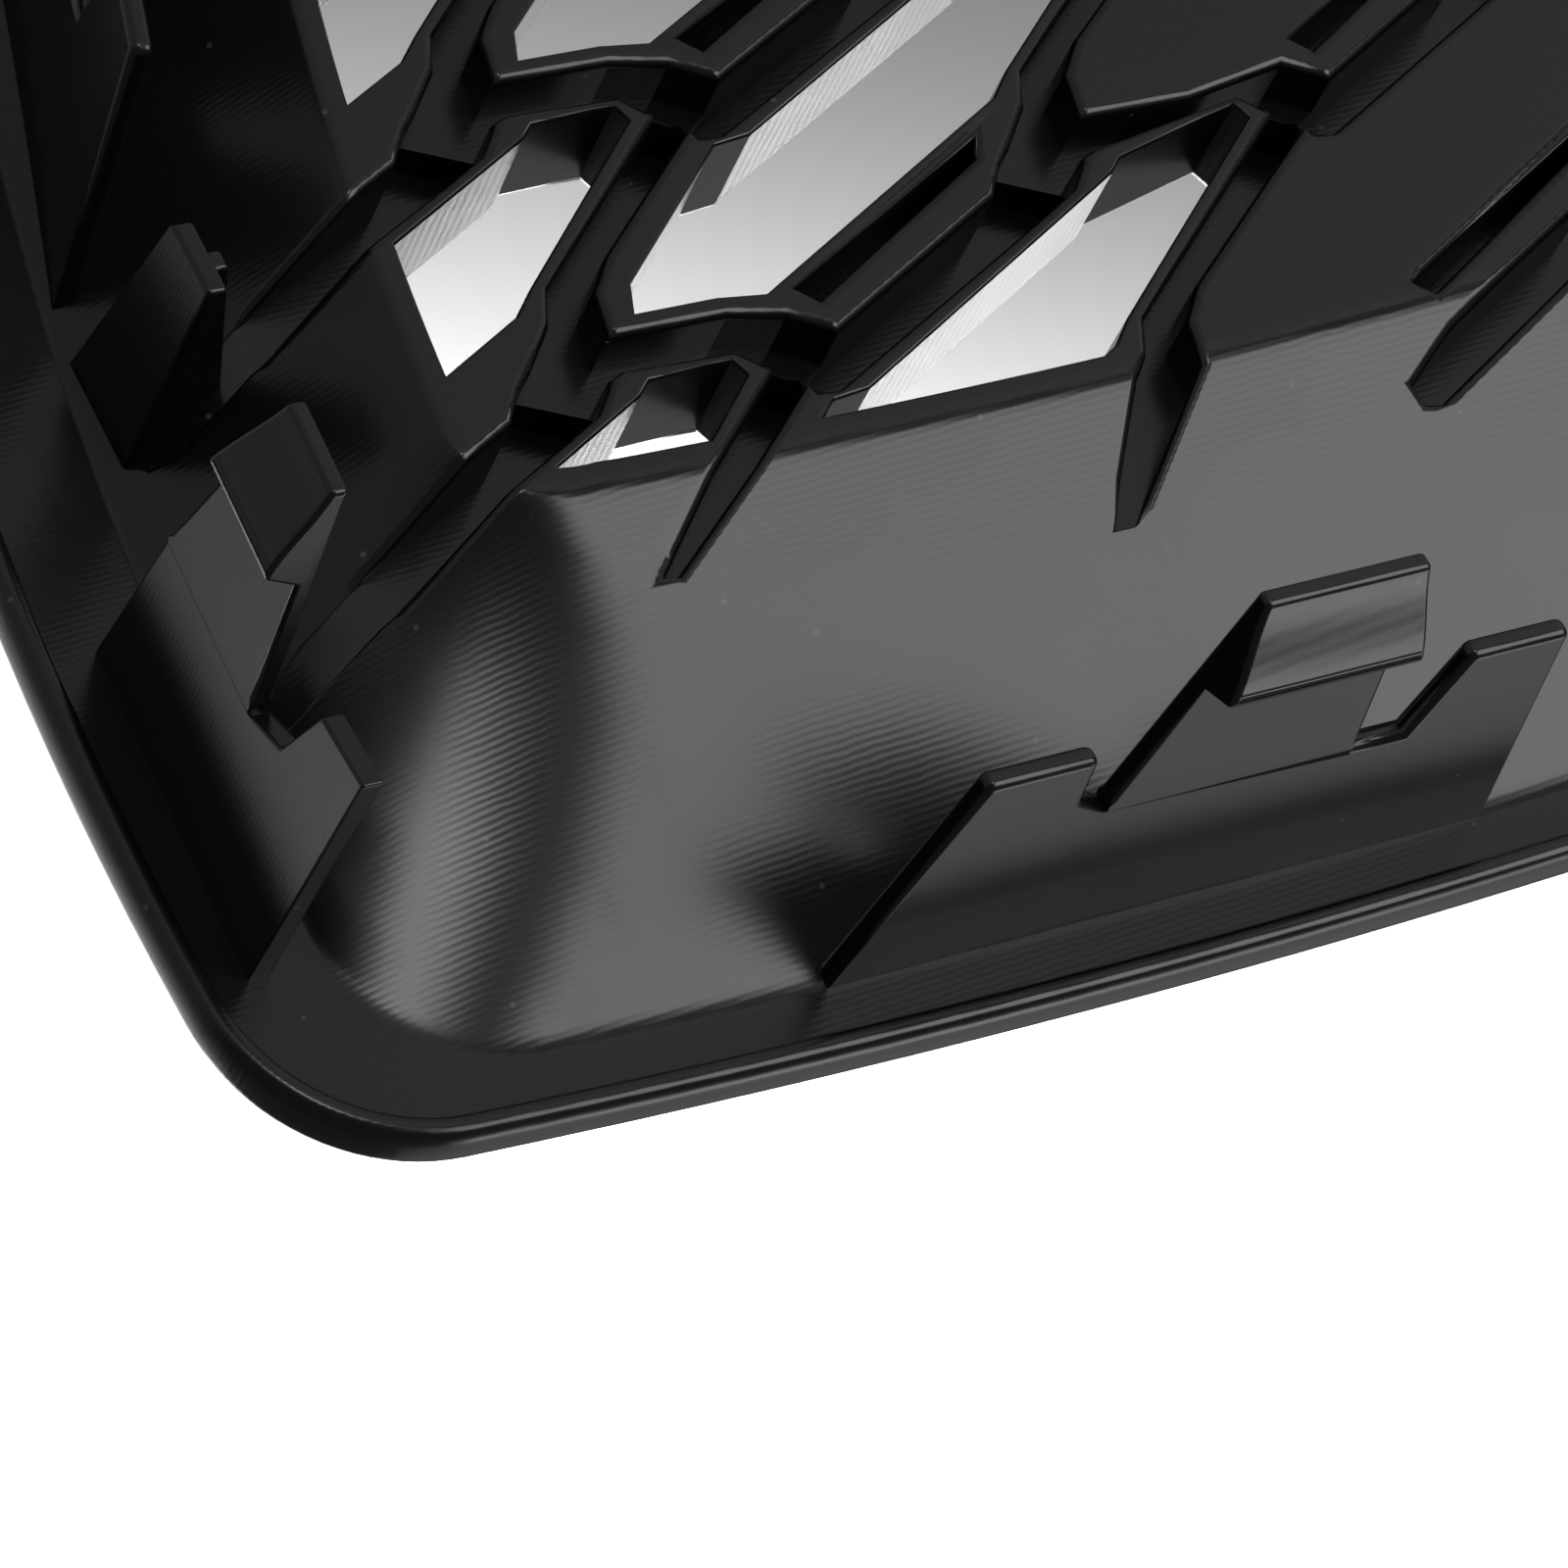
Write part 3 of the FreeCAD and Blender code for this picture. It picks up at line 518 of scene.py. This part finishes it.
class Moulding:
    """Vertices, faces and corner normals of the moulding's left half, later mirrored."""

    def __init__(self):
        self.points = []
        self.index = {}
        self.faces = []
        self.normals = []
        self.seams = []

    def vertex(self, x, y, z):
        key = (round(x, 3), round(y, 3), round(z, 3))
        if key not in self.index:
            self.index[key] = len(self.points)
            self.points.append((x, y, z))
        return self.index[key]

    def face(self, spots, normals=None):
        """Adds a face from (x, y, z) corners, leaving out corners that coincide."""
        ids = [self.vertex(*spot) for spot in spots]
        kept = [k for k in range(len(ids)) if ids[k] != ids[k - 1]]
        if len(kept) < 3 or len(set(ids[k] for k in kept)) < 3:
            return
        ring = [spots[k] for k in kept]
        if normals is None:
            a, b, c = (np.array(ring[k]) for k in (0, 1, 2))
            flat = np.cross(b - a, c - a)
            size = np.linalg.norm(flat)
            flat = flat / size if size > 1e-12 else np.array([0.0, 1.0, 0.0])
            normals = [flat] * len(ids)
        self.faces.append([ids[k] for k in kept])
        self.normals.append([normals[k] for k in kept])

    def on_edges(self):
        """For each seam or upright edge, the vertices that lie along it, from its first end."""
        places = np.array(self.points)
        along = {}
        for first, second in self.seams:
            run = places[second] - places[first]
            level = np.nonzero(np.abs(places[:, 1] - places[first, 1]) < 1e-3)[0]
            away = places[level] - places[first]
            share = away @ run / (run @ run)
            off = np.linalg.norm(away - share[:, None] * run, axis=1)
            inside = (share > 1e-6) & (share < 1 - 1e-6) & (off < SEAM_SLACK)
            along[(first, second)] = [int(n) for n in level[inside][np.argsort(share[inside])]]
        columns = {}
        for number, (x, _, z) in enumerate(self.points):
            columns.setdefault((round(x, 3), round(z, 3)), []).append(number)
        return along, columns

    def stitched(self):
        """This half with every vertex that lies on a face's edge made a corner of that face."""
        along, columns = self.on_edges()
        for number, face in enumerate(self.faces):
            ring = []
            normals = []
            for k, here in enumerate(face):
                there = face[(k + 1) % len(face)]
                a, b = self.points[here], self.points[there]
                key = (round(a[0], 3), round(a[2], 3))
                if key == (round(b[0], 3), round(b[2], 3)):
                    low, high = sorted((a[1], b[1]))
                    extra = [n for n in columns[key] if low < self.points[n][1] < high and n not in face]
                    extra.sort(key=lambda n: self.points[n][1], reverse=bool(a[1] > b[1]))
                else:
                    extra = along.get((here, there)) or along.get((there, here), [])[::-1]
                    extra = [n for n in extra if n not in face]
                ring += [here] + extra
                normals += [self.normals[number][k]] * (1 + len(extra))
            self.faces[number] = ring
            self.normals[number] = normals
        return self

    def mirrored(self):
        """Whole moulding: this half and its mirror image, joined on x = 0."""
        points = list(self.points)
        twin = []
        for x, y, z in self.points:
            if abs(x) < 1e-3:
                twin.append(len(twin))
            else:
                points.append((-x, y, z))
                twin.append(len(points) - 1)
        faces = self.faces + [[twin[i] for i in reversed(face)] for face in self.faces]
        normals = self.normals + [[(-n[0], n[1], n[2]) for n in reversed(ring)] for ring in self.normals]
        return points, faces, normals


def surface_vertices(places, features):
    """Rear and front heights and normals over every plan point, for each kind of surface."""
    pockets, through, wide, ribs = features
    rear = rear_level(places)
    front = front_level(places)
    rear_up = level_normal(rear_level, places, 1.0)
    front_up = level_normal(front_level, places, -1.0)
    fall = np.zeros(len(places))
    lean = np.zeros(len(places))
    way = np.zeros((len(places), 2))
    for loops, floor, radius in ((wide, WIDE_FLOOR, RIM_ROUND), (ribs, RIB_FLOOR, RIM_ROUND),
                                 (through, 0.0, OPENING_ROUND)):
        gap, into = nearest_edge(loops, places)
        reach = np.clip(rear - floor, 0.001, radius)
        drop = fillet_drop(gap, reach)
        tilt = np.arcsin(np.clip((reach - gap) / reach, 0, 1))
        more = drop > fall
        fall = np.where(more, drop, fall)
        lean = np.where(more, tilt, lean)
        way[more] = into[more]
    toward = np.stack([way[:, 0], np.zeros(len(places)), way[:, 1]], 1)
    skin_up = unit(rear_up * np.cos(lean)[:, None] + toward * np.sin(lean)[:, None])
    gap, into = nearest_edge(pockets, places)
    reach = np.clip(front - BARS_FRONT, 0.001, FRONT_ROUND)
    bar = np.minimum(BARS_FRONT + fillet_drop(gap, reach), front)
    tilt = np.arcsin(np.clip((reach - gap) / reach, 0, 1))
    toward = np.stack([into[:, 0], np.zeros(len(places)), into[:, 1]], 1)
    flat = np.tile(np.array([[0.0, -1.0, 0.0]]), (len(places), 1))
    bar_up = unit(flat * np.cos(tilt)[:, None] + toward * np.sin(tilt)[:, None])
    bar_up = np.where((front <= BARS_FRONT + 0.02)[:, None], front_up, bar_up)
    up = np.tile(np.array([[0.0, 1.0, 0.0]]), (len(places), 1))
    rear_side = {SKIN_SIDE: (rear - fall, skin_up),
                 WIDE_SIDE: (np.minimum(rear, WIDE_FLOOR),
                             np.where((rear < WIDE_FLOOR)[:, None], rear_up, up)),
                 RIB_SIDE: (np.minimum(rear, RIB_FLOOR),
                            np.where((rear < RIB_FLOOR)[:, None], rear_up, up)),
                 PANEL_SIDE: (np.full(len(places), BARS_FRONT + SKIN), up)}
    front_side = {SKIN_SIDE: (bar, bar_up), POCKET_SIDE: (front, front_up),
                  PANEL_SIDE: (np.full(len(places), BARS_FRONT), flat)}
    return rear_side, front_side


def plan_triangles(features):
    """Triangulated plan of the left half with every edge of every feature in it."""
    pockets, through, wide, ribs = features
    border = half_outline((2.6, 2.6, 2.6), 17.5 - 2.6, 26.0 - 2.6)
    points = []
    edges = []

    def add(loop, closed):
        first = len(points)
        points.extend(Vector((float(px), float(pz))) for px, pz in loop)
        count = len(loop)
        edges.extend((first + k, first + k + 1) for k in range(count - 1))
        if closed:
            edges.append((first + count - 1, first))

    add(border, True)
    for depth in (2.6, 3.0, 3.5, 5.0, 8.0, WIDE_FLOOR, RIB_FLOOR, 17.5, 19.2, 19.7, 20.1, 20.8):
        insets, corner, low_corner = band_sizes(depth, 0.0)
        add(half_outline(insets, corner, low_corner), False)
    for depth in (-0.4, 0.2, 0.8, 5.0, BARS_FRONT, 14.0, 16.8, 17.4, 17.9, 18.6):
        insets, corner, low_corner = band_sizes(depth, BAND_WALL)
        add(half_outline(insets, corner, low_corner), False)
    rings = [(0.0, 1.0), (0.3, 1.0), (1.0, 1.0)]
    for loops, radius, steps in ((wide, RIM_ROUND, rings), (ribs, RIM_ROUND, rings),
                                 (through, OPENING_ROUND, (rings[0], rings[2])),
                                 (pockets, FRONT_ROUND, rings)):
        for loop in loops:
            for share, _ in steps:
                grown = offset(loop, share * radius) if share else loop
                grown = [(min(px, 0.0), pz) for px, pz in grown]
                add(grown, True)
    for grow in (0.0, 2.2):
        add(panel_loop(grow), False)
    result = delaunay_2d_cdt(points, edges, [], 0, 2e-4)
    places = np.array([tuple(p) for p in result[0]])
    triangles = np.array([tuple(f) for f in result[2]])
    middles = places[triangles].mean(axis=1)
    kept = contains([tuple(p) for p in border], middles)
    return places, triangles[kept], middles[kept]


def build_moulding():
    features = mesh_features()
    pockets, through, wide, ribs = features
    places, triangles, middles = plan_triangles(features)
    spot = places[triangles]
    area = ((spot[:, 1, 0] - spot[:, 0, 0]) * (spot[:, 2, 1] - spot[:, 0, 1])
            - (spot[:, 2, 0] - spot[:, 0, 0]) * (spot[:, 1, 1] - spot[:, 0, 1]))
    triangles[area < 0] = triangles[area < 0][:, ::-1]

    def covered(loops):
        mask = np.zeros(len(middles), bool)
        for loop in loops:
            ring = np.array(loop)
            close = np.nonzero(np.all((middles > ring.min(0)) & (middles < ring.max(0)), axis=1))[0]
            mask[close] |= contains(loop, middles[close])
        return mask

    rear_kind = np.full(len(triangles), SKIN_SIDE)
    front_kind = np.full(len(triangles), SKIN_SIDE)
    rear_kind[covered(ribs)] = RIB_SIDE
    rear_kind[covered(wide)] = WIDE_SIDE
    front_kind[covered(pockets)] = POCKET_SIDE
    opened = covered(through)
    rear_kind[opened] = THROUGH
    front_kind[opened] = THROUGH
    walled = covered([panel_loop(2.2)])
    rear_kind[walled] = SKIN_SIDE
    front_kind[walled] = PANEL_SIDE
    rear_kind[covered([panel_loop(0.0)])] = PANEL_SIDE

    rear_side, front_side = surface_vertices(places, features)
    part = Moulding()

    def corner(side, kind, point):
        return places[point][0], side[kind][0][point], places[point][1]

    owner = {}
    for number, triangle in enumerate(triangles):
        a, b, c = (int(v) for v in triangle)
        for first, second in ((a, b), (b, c), (c, a)):
            owner[(first, second)] = number
        if rear_kind[number] != THROUGH:
            kind = rear_kind[number]
            part.face([corner(rear_side, kind, p) for p in (c, b, a)],
                      [rear_side[kind][1][p] for p in (c, b, a)])
            kind = front_kind[number]
            part.face([corner(front_side, kind, p) for p in (a, b, c)],
                      [front_side[kind][1][p] for p in (a, b, c)])
    for (a, b), number in owner.items():
        other = owner.get((b, a))
        if other is None:
            continue
        mine, theirs = rear_kind[number], rear_kind[other]
        if theirs == THROUGH and mine != THROUGH:
            part.face([corner(rear_side, mine, a), corner(rear_side, mine, b),
                       corner(front_side, front_kind[number], b),
                       corner(front_side, front_kind[number], a)])
        if a > b or THROUGH in (mine, theirs):
            continue
        if mine != theirs:
            part.face([corner(rear_side, mine, a), corner(rear_side, mine, b),
                       corner(rear_side, theirs, b), corner(rear_side, theirs, a)])
        mine, theirs = front_kind[number], front_kind[other]
        if mine != theirs:
            part.face([corner(front_side, mine, b), corner(front_side, mine, a),
                       corner(front_side, theirs, a), corner(front_side, theirs, b)])
    add_rim(part)
    return part.stitched()


def add_rim(part):
    """Rounded lip, outer edge and front flange, swept round the outline."""
    loops = []
    for inset, level in RIM_PROFILE:
        plan = half_outline((inset, inset, inset), 17.5 - inset, 26.0 - inset)
        ahead = np.roll(plan, -1, 0)
        behind = np.roll(plan, 1, 0)
        ahead[-1] = plan[-1] + (plan[-1] - plan[-2])
        behind[0] = plan[0] - (plan[1] - plan[0])
        run = unit(ahead - behind)
        loops.append((plan, level, np.stack([run[:, 1], -run[:, 0]], 1)))
    profile = np.array(RIM_PROFILE)
    steps = unit(np.diff(profile, axis=0))
    lean = np.vstack([[[0.0, 1.0]], unit(-steps[:-1][:, ::-1] * 1.0 - steps[1:][:, ::-1]), [[0.0, -1.0]]])
    rings = []
    for (plan, level, outward), (out, up) in zip(loops, lean):
        normals = np.stack([outward[:, 0] * out, np.full(len(plan), up), outward[:, 1] * out], 1)
        rings.append(([(px, level, pz) for px, pz in plan], normals))
    for (first, first_up), (second, second_up) in zip(rings, rings[1:]):
        for k in range(len(first) - 1):
            part.face([first[k], first[k + 1], second[k + 1], second[k]],
                      [first_up[k], first_up[k + 1], second_up[k + 1], second_up[k]])
    for ring, _ in (rings[0], rings[-1]):
        part.seams += [(part.vertex(*a), part.vertex(*b)) for a, b in zip(ring, ring[1:])]


def mesh_object(name, points, faces, normals=None):
    mesh = bpy.data.meshes.new(name)
    mesh.from_pydata([(px * MM, (py - DEPTH / 2) * MM, pz * MM) for px, py, pz in points], [], faces)
    mesh.polygons.foreach_set("use_smooth", [True] * len(mesh.polygons))
    mesh.update()
    if normals is not None:
        mesh.normals_split_custom_set([tuple(n) for ring in normals for n in ring])
    thing = bpy.data.objects.new(name, mesh)
    scene.collection.objects.link(thing)
    return thing


moulding = mesh_object("grille_moulding", *build_moulding().mirrored())
moulding.data.materials.append(gloss_black)
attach(moulding, "grille")
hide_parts("grille_body")

# ------------------------------------------------------------------ stations, tabs and ribs

PLATE = 1.9
STATION = 62.9
HINGE = 19.2
SEAT = 17.91
LONG_PLATE = ((0.0, -1.5), (0.0, 0.0), (4.6, 26.5), (14.7, 26.5), (15.5, 20.4), (18.4, SEAT),
              (41.9, SEAT), (46.9, SEAT), (48.8, 28.2), (58.3, 28.2), (62.9, 0.0), (62.9, -1.5))
SHORT_PLATE = ((0.0, -1.5), (0.0, 0.0), (2.3, SEAT), (18.5, SEAT), (23.0, 20.3), (25.4, 28.0),
               (32.4, 29.2), (30.6, 0.0), (30.6, -1.5))
GUIDE_FACE = ((0.0, -1.5), (0.0, 0.0), (4.9, 25.0), (12.0, 25.5), (11.4, 0.0), (11.4, -1.5))
GUIDE_WEB = ((0.5, -1.5), (0.5, 24.0), (3.5, 24.0), (9.0, 2.0), (9.0, -1.5))
LONG_TONGUE = (18.7, 21.8, 41.8, 36.9, 34.1, 35.7, 45.0)
SHORT_TONGUE = (2.5, 8.3, 18.1, 16.6, 32.9, 34.5, 43.8)
TONGUE_TOP_WALL = 1.4
BARB_REACH = 3.2
BARB_TOP_REACH = 0.1
FOOT_RADIUS = 1.55
SEAT_RADIUS = 1.6


def station_places():
    """Name, kind, base point (x, z) and turn about Y in degrees of every station."""
    level = TALL - 6.2
    end_x = 53.1 - WIDE
    end_z = TALL - 9.8
    tilt = 3.1
    far_x = -end_x - STATION * math.cos(math.radians(tilt))
    far_z = end_z + STATION * math.sin(math.radians(tilt))
    places = [("top_1", "long", end_x, end_z, -tilt)]
    for number, middle in enumerate((-201.0, -67.0, 67.0, 201.0), start=2):
        places.append(("top_%d" % number, "long", middle - STATION / 2, level, 0.0))
    places.append(("top_6", "long", far_x, far_z, tilt))
    for number, middle in enumerate((-240.0, -80.0, 0.0, 80.0, 240.0), start=1):
        places.append(("bottom_%d" % number, "long", middle + STATION / 2, 6.2, 180.0))
    places.append(("side_upper_left", "short", 11.6 - WIDE, TALL - 55.7, -94.7))
    places.append(("side_lower_left", "flank", 42.5 - WIDE, TALL - 145.0, -108.4))
    return places


def placed(points, base_x, base_z, turn, mirrored):
    """World position of station points (along, up, out)."""
    cosine, sine = math.cos(math.radians(turn)), math.sin(math.radians(turn))
    sign = -1 if mirrored else 1
    return [(sign * (base_x + s * cosine + out * sine), SHELF + up, base_z - s * sine + out * cosine)
            for s, up, out in points]


def rounded_solid(name, points, faces, weight, width, body, node):
    """Solid with chosen edges rounded; weight(a, b) gives each edge's share of the width."""
    solid = mesh_object(name, points, faces)
    layer = solid.data.attributes.new("bevel_weight_edge", "FLOAT", "EDGE")
    faces_at = {}
    for face in solid.data.polygons:
        for key in face.edge_keys:
            faces_at.setdefault(key, []).append(face.normal.copy())
    for edge in solid.data.edges:
        layer.data[edge.index].value = weight(*edge.vertices)
        first, second = faces_at[tuple(sorted(edge.vertices))]
        edge.use_edge_sharp = layer.data[edge.index].value == 0.0 and first.dot(second) < 0.95
    rounding = solid.modifiers.new("rounding", "BEVEL")
    rounding.limit_method = "WEIGHT"
    rounding.width = width * MM
    rounding.segments = 4
    rounding.use_clamp_overlap = False
    rounding.harden_normals = True
    solid.data.materials.append(gloss_black)
    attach(solid, body)
    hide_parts(node)
    return solid


def extruded(ring, near, far):
    """Points and faces of a prism over a ring of (along, up), from one depth to another."""
    count = len(ring)
    points = [(s, up, near) for s, up in ring] + [(s, up, far) for s, up in ring]
    faces = [list(range(count)), [count + k for k in reversed(range(count))]]
    faces += [[(k + 1) % count, k, count + k, count + (k + 1) % count] for k in range(count)]
    return points, faces


def oriented(points, faces):
    """The faces turned so that their normals point outwards."""
    total = 0.0
    for face in faces:
        a = np.array(points[face[0]])
        for k in range(1, len(face) - 1):
            total += np.dot(a, np.cross(points[face[k]], points[face[k + 1]]))
    return faces if total > 0 else [list(reversed(face)) for face in faces]


STATION_ROUND = 0.75
SHORT_STATION_ROUND = 0.3         # any wider and it would run into the tongue in its seat


def station_plate(name, kind, place, mirrored):
    ring = SHORT_PLATE if kind == "short" else LONG_PLATE
    points, faces = extruded(ring, 0.0, -PLATE)
    count = len(ring)
    seat = [k for k in range(count) if ring[k][1] == SEAT][0]
    half = math.asin(PLATE / 2 / SEAT_RADIUS)
    drop = HINGE - SEAT_RADIUS * math.cos(half) - SEAT
    troughs = []
    for k in (seat, seat + 1):
        troughs.append([k])
        for step in range(1, 8):
            angle = half * (1 - step / 4)
            troughs[-1].append(len(points))
            points.append((ring[k][0], HINGE - SEAT_RADIUS * math.cos(angle) - drop,
                           SEAT_RADIUS * math.sin(angle) - PLATE / 2))
        troughs[-1].append(count + k)
    faces.remove([seat + 1, seat, count + seat, count + seat + 1])
    first, second = troughs
    faces += [[second[k], first[k], first[k + 1], second[k + 1]] for k in range(8)]
    faces += [list(reversed(first)), second]
    spots = placed(points, *place, mirrored)

    def weight(a, b):
        if max(a, b) >= 2 * count:
            return 0.0
        if {a % count, b % count} <= {seat, seat + 1} or points[a][1] < 0 or points[b][1] < 0:
            return 0.0
        return 1.0 if abs(a - b) != count or points[a][1] > SEAT + 1 else 0.0

    width = SHORT_STATION_ROUND if kind == "short" else STATION_ROUND
    rounded_solid("station_" + name, spots, oriented(spots, faces), weight, width, "grille", "grille_body")


BARB_SAG = 0.13         # how far the barb's face dips and swells between its top and its tip


def snap_tongue(name, kind, place, mirrored):
    start, top_start, end, top_end, under, tip, peak = SHORT_TONGUE if kind == "short" else LONG_TONGUE
    half = math.asin(PLATE / 2 / FOOT_RADIUS)
    foot = [(HINGE - FOOT_RADIUS * math.cos(half * (1 - k / 4)),
             FOOT_RADIUS * math.sin(half * (1 - k / 4)) - PLATE / 2) for k in range(9)]
    sweep = [(peak + (tip - peak) * k / 12,
              BARB_TOP_REACH + (BARB_REACH - BARB_TOP_REACH) * k / 12
              - BARB_SAG * math.sin(math.tau * k / 12))
             for k in range(13)]
    blade = [(HINGE, -PLATE), (peak, -TONGUE_TOP_WALL), *sweep, (under, 0.0), (HINGE, 0.0)]
    section = foot + blade
    count = len(section)

    def limits(up):
        share = max(up - HINGE, 0.0) / (peak - HINGE)
        return start + (top_start - start) * share, end + (top_end - end) * share

    points = [(limits(up)[side], up, out) for side in (0, 1) for up, out in section]
    faces = [[k, (k + 1) % count, count + (k + 1) % count, count + k] for k in range(count)]
    low = list(range(10)) + [count - 1]
    high = list(range(9, count))
    faces += [list(reversed(low)), list(reversed(high))]
    faces += [[count + k for k in low], [count + k for k in high]]
    spots = placed(points, *place, mirrored)

    def weight(a, b):
        if min(points[a][1], points[b][1]) < HINGE - 0.01:
            return 0.0
        if points[a][1] == HINGE and points[b][1] == HINGE:
            return 0.0
        if points[a][1] == under and points[b][1] == under:
            return 0.0
        if points[a][1] == points[b][1] and tip < points[a][1] < peak:
            return 0.0
        along_tip = points[a][1] == tip and points[b][1] == tip
        return 1.0 if along_tip else 0.6

    node = "snap_tongue_" + name
    rounded_solid(node + "_face", spots, oriented(spots, faces), weight, 0.8, node, node)


def prism_piece(name, ring, near, far, place, mirrored, width=0.5, along=None):
    """Prism with every edge above the shelf rounded."""
    points, faces = extruded(ring, near, far)
    if along is not None:
        points = [(along + out, up, -s) for s, up, out in points]
    spots = placed(points, *place, mirrored)

    def weight(a, b):
        return 0.0 if min(points[a][1], points[b][1]) < 0 else 1.0

    rounded_solid(name, spots, oriented(spots, faces), weight, width, "grille", "grille_body")


def holed_pad(name, place):
    """Flat pad of a screw tab with its bore, as one closed solid."""
    top, bottom, bore = 26.0, 23.6, 4.52
    angles = sorted([math.tau * k / 40 for k in range(40)]
                    + [math.atan2(sz * 10.0, sx * 13.0) % math.tau for sx in (-1, 1) for sz in (-1, 1)])
    rim = []
    for angle in angles:
        reach = min(13.0 / max(abs(math.cos(angle)), 1e-9), 10.0 / max(abs(math.sin(angle)), 1e-9))
        rim.append((reach * math.cos(angle), reach * math.sin(angle)))
    count = len(angles)
    points = []
    for level in (top, bottom):
        points += [(px, level, pz - 10.0) for px, pz in rim]
        points += [(bore * math.cos(a), level, bore * math.sin(a) - 11.0) for a in angles]
    faces = []
    for k in range(count):
        n = (k + 1) % count
        faces.append([k, n, count + n, count + k])
        faces.append([2 * count + n, 2 * count + k, 3 * count + k, 3 * count + n])
        faces.append([n, k, 2 * count + k, 2 * count + n])
        faces.append([count + k, count + n, 3 * count + n, 3 * count + k])
    spots = placed(points, *place, False)

    def weight(a, b):
        corner = all(abs(abs(points[k][0]) - 13.0) < 1e-6 and abs(abs(points[k][2] + 10) - 10) < 1e-6
                     for k in (a, b))
        return 1.0 if corner or points[a][1] == points[b][1] and {a // count, b // count} <= {0, 2} else 0.0

    rounded_solid(name, spots, oriented(spots, faces), weight, 0.4, "grille", "grille_body")


def sided(name):
    """The names and mirror flags of a piece that may stand on both sides."""
    if name.endswith("left"):
        return [(name, False), (name[:-4] + "right", True)]
    return [(name, False)]


for label, kind, *place in station_places():
    for name, mirrored in sided(label):
        station_plate(name, kind, place, mirrored)
        snap_tongue(name, kind, place, mirrored)
for name, mirrored in sided("guide_left"):
    place = (21.7 - WIDE, TALL - 80.6, -95.0)
    prism_piece(name + "_face", GUIDE_FACE, 0.0, -PLATE, place, mirrored)
    prism_piece(name + "_web", GUIDE_WEB, 0.0, 1.8, place, mirrored, 0.4, 7.2)
CHEEK = ((1.0, -1.0), (1.0, 25.0), (19.0, 25.0), (8.0, 4.0))
for number, (sign, top) in enumerate(((-1, True), (1, True), (-1, False), (1, False)), start=1):
    place = (sign * 134.0, TALL - 6.2 if top else 6.2, 0.0 if top else 180.0)
    prism_piece("tab_web_%d" % number, ((-13.0, -1.5), (-13.0, 26.0), (13.0, 26.0), (13.0, -1.5)),
                0.0, -PLATE, place, False)
    holed_pad("tab_pad_%d" % number, place)
    for side, along in (("left", -13.0), ("right", 11.2)):
        prism_piece("tab_cheek_%s_%d" % (side, number), CHEEK, 0.0, 1.8, place, False, 0.4, along)


# ------------------------------------------------------------------ stage, camera and light


def sheet_object(name, width, depth, colour):
    mesh = bpy.data.meshes.new(name)
    corners = [(-width / 2, -depth / 2, 0), (width / 2, -depth / 2, 0), (width / 2, depth / 2, 0),
               (-width / 2, depth / 2, 0)]
    mesh.from_pydata(corners, [], [(0, 1, 2, 3)])
    thing = bpy.data.objects.new(name, mesh)
    scene.collection.objects.link(thing)
    mesh.materials.append(material(name + "_paint", colour, 0.8, bump=0.02, mottling=0.01))
    return thing


floor = sheet_object("floor", 60.0, 60.0, (0.76, 0.76, 0.77))


def softbox(name, place, look_at, width, height, radiance, spread=180.0, roll=0.0):
    """Rectangular soft lamp at a place, facing a point."""
    lamp = bpy.data.lights.new(name, "AREA")
    lamp.shape = "RECTANGLE"
    lamp.size = width
    lamp.size_y = height
    lamp.energy = radiance * width * height * math.pi
    lamp.spread = math.radians(spread)
    thing = bpy.data.objects.new(name, lamp)
    thing.location = place
    aim = Vector(place) - Vector(look_at)
    thing.rotation_euler = aim.to_track_quat("Z", "Y").to_euler()
    thing.rotation_euler.rotate_axis("Z", math.radians(roll))
    scene.collection.objects.link(thing)
    return thing


def from_corner(direction, distance):
    """Place at a distance from the corner in view, along a direction."""
    return TARGET + Vector(direction).normalized() * distance


RIGHT = Vector((0.8217, 0.3147, 0.4750))
DOWN = Vector((-0.2532, -0.5450, 0.7992))
BACK = RIGHT.cross(-DOWN).normalized()
TARGET = Vector((-359.9, -22.0, 176.9)) * MM
camera_data = bpy.data.cameras.new("camera")
camera_data.lens = 180.0
camera_data.sensor_width = 36.0
camera_data.clip_start = 0.01
camera_data.clip_end = 100.0
camera = bpy.data.objects.new("camera", camera_data)
scene.collection.objects.link(camera)
turn = Matrix((RIGHT, -DOWN, BACK)).transposed()
camera.matrix_world = Matrix.Translation(TARGET + BACK * 0.6154) @ turn.to_4x4()
scene.camera = camera

softbox("band_light", from_corner((0.55, 0.74, 0.45), 1.6), TARGET, 1.15, 0.95, 3.7)
softbox("corner_light", from_corner((-0.04, 1.0, 0.015), 1.8), TARGET, 0.46, 0.38, 7.0)
softbox("top_light", from_corner((0.51, -0.40, 0.76), 1.6), TARGET, 1.2, 0.3, 3.2)
softbox("front_light", from_corner((0.5, -0.75, 0.5), 2.0), TARGET, 2.0, 1.2, 0.38)
softbox("floor_light", (-0.007, -1.02, 0.35), (-0.007, -1.02, 0.0), 1.42, 0.9, 9.0, 62.0, -31.0)

world = bpy.data.worlds.new("studio")
world.use_nodes = True
world.node_tree.nodes["Background"].inputs["Color"].default_value = (1.0, 1.0, 1.0, 1.0)
world.node_tree.nodes["Background"].inputs["Strength"].default_value = 0.1
scene.world = world
scene.view_settings.view_transform = "Standard"
